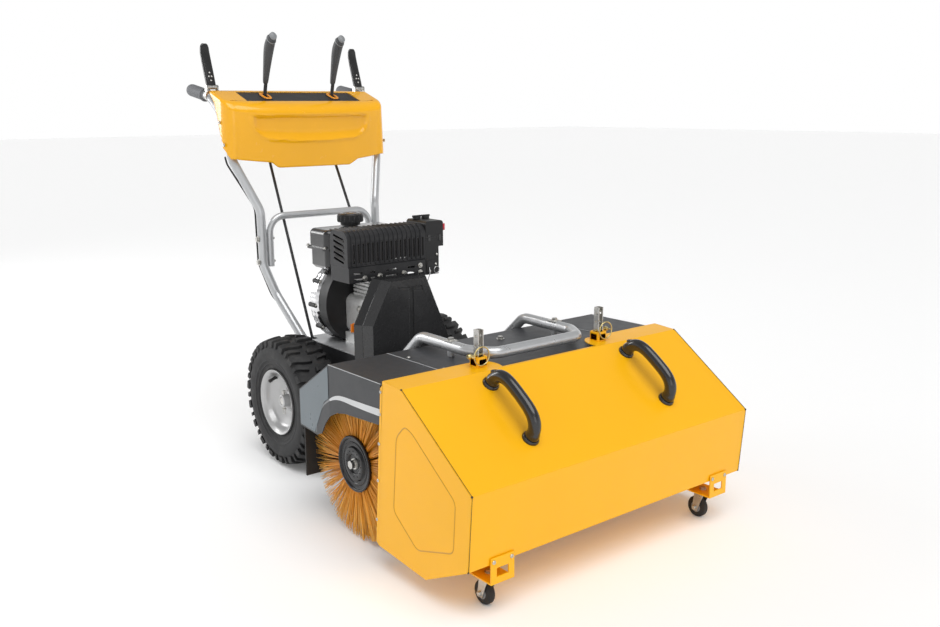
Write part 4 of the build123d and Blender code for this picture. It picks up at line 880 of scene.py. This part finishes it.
def make_collector_handles():
    """Two lift handles with their feet and screws."""
    for name, x in (("left", -203.0), ("right", 203.0)):
        bm = bmesh.new()
        line = [on_slope(x, a, o) for a, o in ((-74, 0.6), (-74, 16), (-68, 32), (-54, 43), (-34, 48), (0, 49),
                                               (34, 48), (54, 43), (68, 32), (74, 16), (74, 0.6))]
        pts = fillet([tuple(p) for p in line], 10.0, 3)
        wide = [15.5 if (i < 3 or i > len(pts) - 4) else 13.4 + 0.8 * abs(i - len(pts) / 2) / (len(pts) / 2)
                for i in range(len(pts))]
        add_tube(bm, pts, wide, 22, flat=0.92, up=(1, 0, 0))
        piece("lift_handle_" + name, bm, "black_gloss", "collector", smooth=60.0,
                          subdivide=1)
        bm = bmesh.new()
        for a in (-74, 74):
            foot = on_slope(x, a, 0.3)
            add_lathe(bm, foot, SLOPE_OUT, [(0, 0), (0, 18.5), (3, 18.2), (6, 16.2), (6, 0)], 32)
        piece("lift_handle_feet_" + name, bm, "black_gloss", "collector", smooth=40.0)
        bm = bmesh.new()
        spot = on_slope(x, -76, 25.0)
        direction = (SLOPE_OUT * 0.75 - SLOPE * 0.66).normalized()
        cup = [(2.0, 0), (2.0, 8.0), (9.5, 8.0), (10.2, 6.6), (8.0, 5.2), (5.0, 5.0), (5.0, 0)]
        add_lathe(bm, spot + direction * 0.5, direction, cup, 24)
        piece("lift_handle_recess_" + name, bm, "cover_black", "collector", smooth=40.0)
        bm = bmesh.new()
        add_hex(bm, spot + direction * 5.6, direction, 3.8, 2.6)
        piece("lift_handle_screw_" + name, bm, "zinc", "collector", smooth=35.0)
    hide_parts("collector_handles")


def ridge(bm, outline, x, side, width, height):
    """Raised bead that follows a closed outline of (y, z) points on a side plate."""
    count = len(outline)
    centre = (sum(p[0] for p in outline) / count, sum(p[1] for p in outline) / count)
    rings = []
    for shift, lift in ((0.0, 0.0), (width * 0.3, height), (width * 0.7, height), (width, 0.0)):
        ring = []
        for i, (y, z) in enumerate(outline):
            (ay, az), (by, bz) = outline[i - 1], outline[(i + 1) % count]
            ty, tz = by - ay, bz - az
            size = math.hypot(ty, tz)
            ny, nz = tz / size, -ty / size
            if ny * (centre[0] - y) + nz * (centre[1] - z) < 0:
                ny, nz = -ny, -nz
            ring.append(bm.verts.new(at(side * (x + lift), y + ny * shift, z + nz * shift)))
        rings.append(ring)
    bridge(bm, rings)


def rounded_outline(points, radius, steps=5):
    """Closed (y, z) outline with rounded corners."""
    out = []
    count = len(points)
    for i in range(count):
        a, b, c = (Vector((*points[i - 1], 0)), Vector((*points[i], 0)), Vector((*points[(i + 1) % count], 0)))
        reach = min(radius, (a - b).length * 0.45, (c - b).length * 0.45)
        p, q = b + (a - b).normalized() * reach, b + (c - b).normalized() * reach
        for k in range(steps + 1):
            t = k / steps
            spot = p * (1 - t) ** 2 + b * 2 * t * (1 - t) + q * t * t
            out.append((spot.x, spot.y))
    return out


def make_collector_details():
    """Beads, flanges and screws of the collector, with painted shade on the groove bead, in the corner reliefs and
    along the fold lines.
    """
    emboss = [(-756, 312), (-741, 150), (-822, 93), (-940, 130), (-948, 236), (-811, 335), (-786, 342)]
    outline = rounded_outline(emboss, 14.0)
    for name, side in (("left", -1), ("right", 1)):
        bm = bmesh.new()
        # The bead is darker yellow: painted shade of the groove.
        ridge(bm, outline, SIDE_PLATE, side, 3.0, 0.8)
        bmesh.ops.recalc_face_normals(bm, faces=bm.faces)
        piece("side_bead_" + name, bm, "groove_shade", "collector", smooth=50.0)
        bm = bmesh.new()
        add_prism(bm, [(side * 404.5, -712.5, 408), (side * 404.5, -704.0, 400), (side * 404.5, -675.5, 60),
                       (side * 404.5, -683.5, 57)], (side, 0, 0), 3.0)
        piece("side_flange_" + name, bm, "yellow_coat", "collector", smooth=35.0)
        bm = bmesh.new()
        for share in (0.03, 0.17, 0.36, 0.6, 0.86):
            y, z = -706.0 + 30.0 * share, 402.0 - 338.0 * share
            add_pan(bm, (side * 407.4, y, z), (side, 0, 0), 3.4, 1.8)
        piece("side_screws_" + name, bm, "zinc", "collector", smooth=35.0)
        # Small dark plugs at the fold corners: painted shade of the relief holes.
        bm = bmesh.new()
        for y, z in ((-775.0, 411.4), (-992.6, 261.0), (-980.6, 108.4)):
            spot = (side * 405.3, y, z)
            add_lathe(bm, spot, (0, -0.6, 0.8 if z > 400 else (0.3 if z > 200 else -0.5)),
                      [(-1.5, 0), (-1.5, 2.4), (0.9, 2.2), (1.1, 0)], 12)
        piece("corner_reliefs_" + name, bm, "flap_rubber", "collector", smooth=35.0)
    # Thin dark tubes along the folds: painted shadow.
    bm = bmesh.new()
    line = [(-712.0, 417.2), (-775.0, 413.2), (-994.0, 261.6), (-982.1, 107.8), (-849.3, 41.6), (-683.0, 54.2)]
    for side in (-1, 1):
        add_tube(bm, [(side * 405.6, y, z) for y, z in line[1:4]], 0.5, 6)
    piece("fold_shadow", bm, "flap_rubber", "collector", smooth=35.0)


def make_post_details():
    """Sockets on the posts, and the lynch pins with their rings."""
    for name, side in (("left", -1), ("right", 1)):
        x, y = side * POST_X, POST_Y
        bm = bmesh.new()
        outer, inner = 14.5, 8.0
        shape = rounded_outline([(x - outer, y - outer), (x + outer, y - outer), (x + outer, y + outer),
                                 (x - outer, y + outer)], 5.0)
        hole = rounded_outline([(x - inner, y - inner), (x + inner, y - inner), (x + inner, y + inner),
                                (x - inner, y + inner)], 1.0)
        rings = [[bm.verts.new(at(px, py, z)) for px, py in loop]
                 for loop, z in ((shape, 412.2), (shape, 434.0), (hole, 434.0), (hole, 412.2))]
        rings.insert(2, [bm.verts.new(at(x + (px - x) * 0.93, y + (py - y) * 0.93, 435.2)) for px, py in shape])
        bridge(bm, rings)
        bmesh.ops.recalc_face_normals(bm, faces=bm.faces)
        piece("post_socket_" + name, bm, "yellow_coat", "collector", smooth=40.0)

        bm = bmesh.new()
        z = 437.0    # pin height
        add_tube(bm, [(x - side * 14, y, z), (x + side * 23, y, z)], 2.7, 14)
        add_lathe(bm, (x + side * 21, y, z), (side, 0, 0), [(0, 2), (0, 5.6), (6.5, 5.6), (8.5, 4.2), (8.5, 0)], 20)
        ring = [(x + side * (6 + 20 * math.cos(t)), y - 18, z + 1.6 + 20 * math.sin(t))
                for t in [math.radians(a) for a in range(-176, 185, 12)]]
        add_tube(bm, ring, 1.5, 10)
        add_tube(bm, [(x + side * 26, y, z), (x + side * 26, y - 18, z + 1.0)], 1.6, 10)
        clip = piece("lynch_ring_" + name, bm, "zinc_yellow", "lynch_" + name, smooth=45.0)
        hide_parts("lynch_pin_" + name)


def make_caster(name, side):
    """Caster tyre, hub, nuts and the plate screws."""
    x, y, z = side * CASTER_X, SWIVEL_Y + 12.0, 25.0
    bm = bmesh.new()
    add_lathe(bm, (x - 8.5, y, z), (1, 0, 0), [(0, 3.1), (0, 18), (0.8, 19), (0.8, 21), (2.0, 23.6), (4.4, 24.9),
                                               (12.6, 24.9), (15.0, 23.6), (16.2, 21), (16.2, 19), (17, 18),
                                               (17, 3.1)], 48, closed=True)
    bmesh.ops.recalc_face_normals(bm, faces=bm.faces)
    roller = "caster_%s_roller" % name
    wheel = piece("caster_tread_" + name, bm, "flap_rubber", roller, smooth=40.0)
    bm = bmesh.new()
    add_lathe(bm, (x - 9.0, y, z), (1, 0, 0), [(0, 3.1), (0, 12), (1.2, 13.5), (1.2, 15.5), (16.8, 15.5),
                                               (16.8, 13.5), (18, 12), (18, 3.1)], 32, closed=True)
    bmesh.ops.recalc_face_normals(bm, faces=bm.faces)
    piece("caster_hub_" + name, bm, "cap_grey", roller, smooth=40.0)
    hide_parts("caster_wheel_" + name)
    bm = bmesh.new()
    for end in (-1, 1):
        add_hex(bm, (x + end * 13.0, y, z), (end, 0, 0), 5.0, 3.4, 6.5)
    piece("caster_nuts_" + name, bm, "zinc", "caster_" + name, smooth=35.0)
    bm = bmesh.new()
    add_lathe(bm, (x, SWIVEL_Y, 62.4), (0, 0, 1), [(0, 5.0), (0, 15.5), (2.0, 16.0), (4.6, 13.0), (5.2, 5.0)], 32)
    piece("caster_race_" + name, bm, "zinc", "caster_" + name, smooth=40.0)
    bm = bmesh.new()
    add_hex(bm, (x, SWIVEL_Y, 71.0), (0, 0, 1), 7.0, 4.6, 9.0)
    piece("caster_top_nut_" + name, bm, "zinc", "caster_" + name, smooth=35.0)
    bm = bmesh.new()
    for shift in (-22, 22):
        add_pan(bm, (x + shift, -986.0, 113.5), (0, -1, 0), 4.2, 2.4)
    piece("bracket_screws_" + name, bm, "zinc", "collector", smooth=35.0)


# ---------------------------------------------------------------- hood
def strip(bm, line, widths, side, thickness=0.5):
    """Flat strip along (x, y, z) points on the hood side; width is measured up and down."""
    rows = []
    for i, (x, y, z) in enumerate(line):
        a, b = line[max(i - 1, 0)], line[min(i + 1, len(line) - 1)]
        ty, tz = b[1] - a[1], b[2] - a[2]
        size = math.hypot(ty, tz)
        ny, nz = -tz / size, ty / size
        half = widths[i] / 2
        rows.append([bm.verts.new(at(side * (x + thickness), y + ny * half * s, z + nz * half * s))
                     for s in (-1, 1)])
    for a, b in zip(rows, rows[1:]):
        bm.faces.new((a[0], a[1], b[1], b[0]))


def side_x(y):
    """Outer face of the hood side at a distance along the machine."""
    if y < -496.0:
        return 404.0
    return 404.0 - 12.0 * (y + 496.0) / 156.0


def make_hood_details():
    """Painted highlights along the hood's ledge and fold edges, side plates and screws of the hood."""
    thick = [(-706, 345.5), (-690, 345.2), (-640, 343), (-590, 341.5), (-558, 341), (-540, 339.5), (-524, 336),
             (-510, 331), (-498, 325)]
    widths = [15.0, 15.0, 14.0, 12.5, 11.0, 10.0, 8.5, 6.5, 4.5]
    thin = [(-498, 325), (-484, 317), (-470, 308), (-456, 295), (-444, 280), (-435, 264), (-429, 248), (-426, 232)]
    for name, side in (("left", -1), ("right", 1)):
        # Painted highlight on the upward-facing ledge over the arch: a wide light strip at the front, then a thin
        # grey tail.
        bm = bmesh.new()
        strip(bm, [(side_x(y), y, z) for y, z in thick], widths, side)
        bmesh.ops.recalc_face_normals(bm, faces=bm.faces)
        piece("hood_stripe_" + name, bm, "stripe_white", "sweeper_head", smooth=30.0)
        bm = bmesh.new()
        strip(bm, [(side_x(y), y, z) for y, z in thin], [4.5, 4.0, 3.4, 3.0, 2.6, 2.4, 2.2, 2.0], side)
        bmesh.ops.recalc_face_normals(bm, faces=bm.faces)
        piece("hood_stripe_tail_" + name, bm, "stripe_grey", "sweeper_head", smooth=30.0)
        bm = bmesh.new()
        rows = []
        for i in range(25):
            y = -494.0 + 149.5 * i / 24
            top = 403.8 - 0.5903 * (y + 496) - 2.6
            low = 327 - 0.55 * (y + 494) if y < -470 else 313.8 - 1.62 * (y + 470)
            low = max(low, 229.5)
            rows.append([bm.verts.new(at(side * (side_x(y) + lift), y, z)) for lift, z in
                         ((0.1, low), (0.9, low + 1.0), (0.9, top - 1.0), (0.1, top))])
        for a, b in zip(rows, rows[1:]):
            for k in range(3):
                bm.faces.new((a[k], b[k], b[k + 1], a[k + 1]))
        bmesh.ops.recalc_face_normals(bm, faces=bm.faces)
        piece("hood_side_plate_" + name, bm, "plate_blue", "sweeper_head", smooth=30.0)
        bm = bmesh.new()
        # Thin light grey tubes along the fold edges: painted highlight on the folds.
        edge = [(-700, 406.3), (-496, 403.8), (-341.5, 312.6)]
        add_tube(bm, [(side * (side_x(y) - 0.4), y, z) for y, z in edge[:2]], 0.9, 8)
        add_tube(bm, [(side * 250.2, y, z + 0.3) for y, z in ((-764, 407.0), (-498, 404.0))], 0.8, 8)
        add_tube(bm, [(side * 250.2, y, z + 0.3) for y, z in ((-494, 402.8), (-342, 313.2))], 0.8, 8)
        piece("hood_edges_" + name, bm, "edge_grey", "sweeper_head", smooth=30.0)
        bm = bmesh.new()
        for x, y, z in ((250, -560, 404.5), (250, -690, 406.0)):
            add_pan(bm, (side * (x - 14), y, z + 0.2), (0, 0, 1), 4.4, 2.4)
        piece("hood_screws_" + name, bm, "zinc", "sweeper_head", smooth=35.0)


def make_bumper_details():
    """Bolts and spacers under the bumper tube."""
    bm = bmesh.new()
    for x in (-158.0, 158.0):
        add_hex(bm, (x, -612, 442.0), (0, 0, 1), 7.0, 5.0, 9.5)
        add_box(bm, (x - 11, -626, 440.4), (x + 11, -598, 442.6))
    for x in (-34.0, 34.0):
        add_hex(bm, (x, -556, 405.0), (0, 0, 1), 7.0, 5.4, 10.0)
    piece("bumper_bolts", bm, "zinc", "sweeper_head", smooth=35.0)
    bm = bmesh.new()
    for x in (-158.0, 158.0):
        add_tube(bm, [(x, -612, 406), (x, -612, 420)], 8.0, 20)
    piece("bumper_spacers", bm, "silver_hammered", "sweeper_head", smooth=35.0)


# ---------------------------------------------------------------- handle
def make_handle_details():
    """Bolts through the handle tubes."""
    bm = bmesh.new()
    for side in (-1, 1):
        for z in (520.0, 585.0):
            add_hex(bm, (side * 202.6, 214, z), (side, 0, 0), 6.3, 4.4, 9.0)
    piece("tube_bolts", bm, "zinc", "chassis", smooth=35.0)


# ---------------------------------------------------------------- engine
def make_shield_details():
    """Ribs over the muffler shield's front and top, dark sheets of painted shade for the slots in its end and
    front, and the bracket's bolts.
    """
    bm = bmesh.new()
    turns = [math.pi / 2 * i / 6 for i in range(7)]
    arc = [(-120 - 26.3 * math.cos(turn), 608 + 26.3 * math.sin(turn)) for turn in turns]
    line = [(-146.3, 545.0)] + arc + [(-66.0, 634.3)]
    for step in range(17):
        x = SHIELD_LEFT + 10.7 + SHIELD_PITCH * step
        if x < 112:
            add_tube(bm, [(x, y, z) for y, z in line], 2.6, 8, flat=0.6, up=(1, 0, 0))
    add_tube(bm, [(-129, -146.4, 542.5), (114, -146.4, 542.5)], 1.6, 8)
    end = [(-131.2, y - 0.4, z - 0.4) for y, z in arc]
    add_tube(bm, [(-131.2, -146.0, 540)] + end + [(-131.2, -60, 633.8)], 2.0, 8)
    piece("shield_ribs", bm, "black_coat", "chassis", smooth=45.0)
    # Thin matte black sheets where the slots are: painted shade of the openings.
    bm = bmesh.new()
    for step in range(4):
        z = 562 + 15.5 * step
        end = -80.0 - 2.0 * step
        outline = rounded_outline([(-127, z - 4), (end, z + 2), (end, z + 8), (-127, z + 2)], 3.0)
        add_prism(bm, [(-131.6, y, h) for y, h in outline], (1, 0, 0), 0.5)
    for step in range(16):
        x = SHIELD_LEFT + 18 + SHIELD_PITCH * step
        if x < 108:
            add_box(bm, (x - 2.2, -143.4, 552), (x + 2.2, -142.9, 600))
    piece("shield_slots", bm, "flap_rubber", "chassis", smooth=30.0)
    bm = bmesh.new()
    for x, z, r in ((-84.6, 509.6, 5.6), (-37.3, 511.3, 5.6), (40.2, 509.9, 5.6), (93.4, 507.4, 4.6),
                    (93.7, 526.1, 4.6)):
        add_hex(bm, (x, -150.0, z), (0, -1, 0), r, 4.4, r + 2.4)
    piece("shield_bolts", bm, "zinc", "chassis", smooth=35.0)


def make_air_box_details():
    """Lid seam, screws and the control plate on the air cleaner's box."""
    bm = bmesh.new()
    add_tube(bm, [(118, -146.4, 598), (175.0, -146.4, 598)], 1.3, 8)
    add_tube(bm, [(176.2, -145, 598), (176.2, -58, 598)], 1.3, 8)
    for x in (128.0, 164.0):
        add_box(bm, (x - 4, -147.4, 588), (x + 4, -146.0, 606))
    piece("air_box_seam", bm, "black_gloss", "chassis", smooth=40.0, bevel=0.0004)
    bm = bmesh.new()
    outline = rounded_outline([(119, 500), (157, 500), (157, 530), (140, 536), (119, 532)], 5.0)
    add_prism(bm, [(x, SHIELD_FRONT, z) for x, z in outline], (0, -1, 0), 1.6)
    piece("control_plate", bm, "black_coat", "chassis", smooth=35.0, bevel=0.0003)
    bm = bmesh.new()
    for x, z in ((148.0, 524.0), (128.0, 506.0), (152.0, 550.0)):
        add_pan(bm, (x, -148.0, z), (0, -1, 0), 3.4, 2.4)
    piece("control_screws", bm, "zinc", "chassis", smooth=35.0)
    bm = bmesh.new()
    ring = [(150 + 9 * math.cos(a), -149.5, 508 + 9 * math.sin(a)) for a in
            [2 * math.pi * i / 24 for i in range(24)]]
    add_tube(bm, ring + [ring[0]], 0.9, 8)
    wire = [(126, -149, 516), (126, -152, 502), (122, -150, 488), (116, -146, 470)]
    add_tube(bm, wire, 1.1, 8, round_corners=8)
    piece("control_wires", bm, "bright_metal", "chassis", smooth=50.0)


def make_blower_details():
    """Bolts, band and moulded steps on the blower housing."""
    spots = []
    for degrees in (150, 182, 214):
        angle = math.radians(degrees)
        spots.append((BLOWER_X + 119.0 * math.cos(angle), BLOWER_Z + 119.0 * math.sin(angle)))
    bm = bmesh.new()
    for x, z in spots:
        add_tube(bm, [(x, 6, z), (x, 40, z)], 6.5, 14)
    piece("blower_lugs", bm, "black_plastic", "chassis", smooth=30.0, bevel=0.0012)
    bm = bmesh.new()
    for x, z in spots:
        add_hex(bm, (x, 6.0, z), (0, -1, 0), 3.6, 3.0, 5.4)
    for x, z in ((-62, 480), (-62, 432), (52, 478), (52, 430), (-62, 366), (54, 366)):
        add_hex(bm, (x, -165.0, z), (0, -1, 0), 5.0, 5.0, 8.0)
    add_hex(bm, (-78.0, -110.0, 420.0), (-1, 0, 0), 6.0, 6.0, 10.0)
    piece("engine_bolts", bm, "zinc", "chassis", smooth=35.0)
    bm = bmesh.new()
    band = [(115.5, -2), (119.2, 2), (119.8, 16), (118.6, 22), (119.8, 28), (119.2, 39), (115.0, 41)]
    rows = []
    for i in range(41):
        angle = math.radians(128 + 102 * i / 40)
        swell = 0.8 * math.sin(i * 1.9)
        row = []
        for radius, y in band:
            x = BLOWER_X + (radius + swell) * math.cos(angle)
            z = BLOWER_Z + (radius + swell) * math.sin(angle)
            row.append(bm.verts.new(at(x, y, z)))
        rows.append(row)
    for a, b in zip(rows, rows[1:]):
        for k in range(6):
            bm.faces.new((a[k], b[k], b[k + 1], a[k + 1]))
    bmesh.ops.recalc_face_normals(bm, faces=bm.faces)
    piece("blower_band", bm, "bright_metal", "chassis", smooth=50.0)


def make_tank_details():
    """Bolts through the tank's seam, and the gauge dome and grip ribs of its cap."""
    bm = bmesh.new()
    for x, y in ((-136, -40), (98, -40), (98, 50), (-136, 50), (-19, -49.5)):
        add_hex(bm, (x, y, 580.0), (0, 0, 1), 4.2, 3.6, 6.4)
    piece("tank_bolts", bm, "zinc", "chassis", smooth=35.0)
    bm = bmesh.new()
    dome = [(0, 27), (1.4, 26), (2.2, 22), (1.2, 20), (1.0, 14), (2.0, 12), (2.6, 6), (2.7, 0)]
    add_lathe(bm, (CAP_X, CAP_Y, 661.9), (0, 0, 1), dome, 40)
    for i in range(32):
        a = 2 * math.pi * i / 32
        x, y = CAP_X + 34.6 * math.cos(a), CAP_Y + 34.6 * math.sin(a)
        if i % 2:
            add_tube(bm, [(x, y, 642), (x, y, 657)], 1.3, 8)
    piece("fuel_cap_ribs", bm, "black_gloss", "fuel_cap_body", smooth=50.0)


# ---------------------------------------------------------------- all pieces, in order
make_wheels()
make_brush()
make_shield_details()
make_air_box_details()
make_blower_details()
make_tank_details()
make_panel()
make_gates()
make_levers()
sides(make_paddle)
make_grips()
make_collector_handles()
make_collector_details()
make_post_details()
sides(make_caster)
make_hood_details()
make_bumper_details()
make_handle_details()


# ---------------------------------------------------------------- floor, light and camera
def make_stage():
    """White floor and a sky that is brightest near the horizon."""
    bm = bmesh.new()
    bmesh.ops.create_grid(bm, x_segments=1, y_segments=1, size=30.0)
    mesh = bpy.data.meshes.new("floor")
    bm.to_mesh(mesh)
    bm.free()
    floor = bpy.data.objects.new("floor", mesh)
    bpy.context.scene.collection.objects.link(floor)
    s = Shader("floor_white")
    s.bsdf.inputs["Base Color"].default_value = (0.93, 0.93, 0.93, 1)
    s.bsdf.inputs["Roughness"].default_value = 0.6
    s.bsdf.inputs["Specular IOR Level"].default_value = 0.15
    s.bsdf.inputs["Emission Color"].default_value = (1, 1, 1, 1)
    s.bsdf.inputs["Emission Strength"].default_value = 0.07
    mesh.materials.append(s.mat)

    world = bpy.data.worlds.new("studio")
    bpy.context.scene.world = world
    world.use_nodes = True
    tree = world.node_tree
    background = tree.nodes["Background"]
    coords = tree.nodes.new("ShaderNodeTexCoord")
    split = tree.nodes.new("ShaderNodeSeparateXYZ")
    tree.links.new(coords.outputs["Generated"], split.inputs["Vector"])
    shade = tree.nodes.new("ShaderNodeMapRange")
    shade.inputs["From Min"].default_value = 0.12
    shade.inputs["From Max"].default_value = 0.45
    shade.inputs["To Min"].default_value = 1.0
    shade.inputs["To Max"].default_value = 0.38
    tree.links.new(split.outputs["Z"], shade.inputs["Value"])
    tree.links.new(shade.outputs["Result"], background.inputs["Strength"])
    background.inputs["Color"].default_value = (1, 1, 1, 1)


def area_light(name, spot, target, size, power, color=(1, 1, 1)):
    """Rectangular light aimed at a target."""
    data = bpy.data.lights.new(name, "AREA")
    data.shape = "RECTANGLE"
    data.size, data.size_y = size
    data.energy = power
    data.color = color
    light = bpy.data.objects.new(name, data)
    bpy.context.scene.collection.objects.link(light)
    light.location = spot
    light.rotation_euler = (Vector(target) - Vector(spot)).to_track_quat("-Z", "Y").to_euler()


def make_lights():
    """Soft key from above, a low front fill and a strip behind."""
    sky = bpy.data.lights.new("soft_key", "SUN")
    sky.angle = math.radians(50)
    sky.energy = 1.8
    key = bpy.data.objects.new("soft_key", sky)
    bpy.context.scene.collection.objects.link(key)
    key.rotation_euler = Vector((0.3, 1.1, -2.6)).to_track_quat("-Z", "Y").to_euler()
    middle = (0.0, 0.0, 0.4)
    area_light("front", (-1.6, -3.8, 1.6), middle, (2.2, 1.4), 12.0)
    area_light("strip", (-1.9, 3.3, 1.9), middle, (0.7, 2.4), 38.0)


def make_camera():
    """Three-quarter view from the front left."""
    data = bpy.data.cameras.new("camera")
    camera = bpy.data.objects.new("camera", data)
    bpy.context.scene.collection.objects.link(camera)
    data.sensor_width = 36.0
    data.lens = 37.07
    data.clip_end = 100.0
    camera.location = at(-1427.0, -2264.8, 950.0)
    aim = Matrix.Rotation(math.radians(-38.69), 4, "Z") @ Matrix.Rotation(math.radians(90 - 12.13), 4, "X")
    camera.rotation_euler = (aim @ Matrix.Rotation(math.radians(-0.26), 4, "Z")).to_euler()
    bpy.context.scene.camera = camera
    bpy.context.scene.view_settings.view_transform = "Standard"


make_stage()
make_lights()
make_camera()
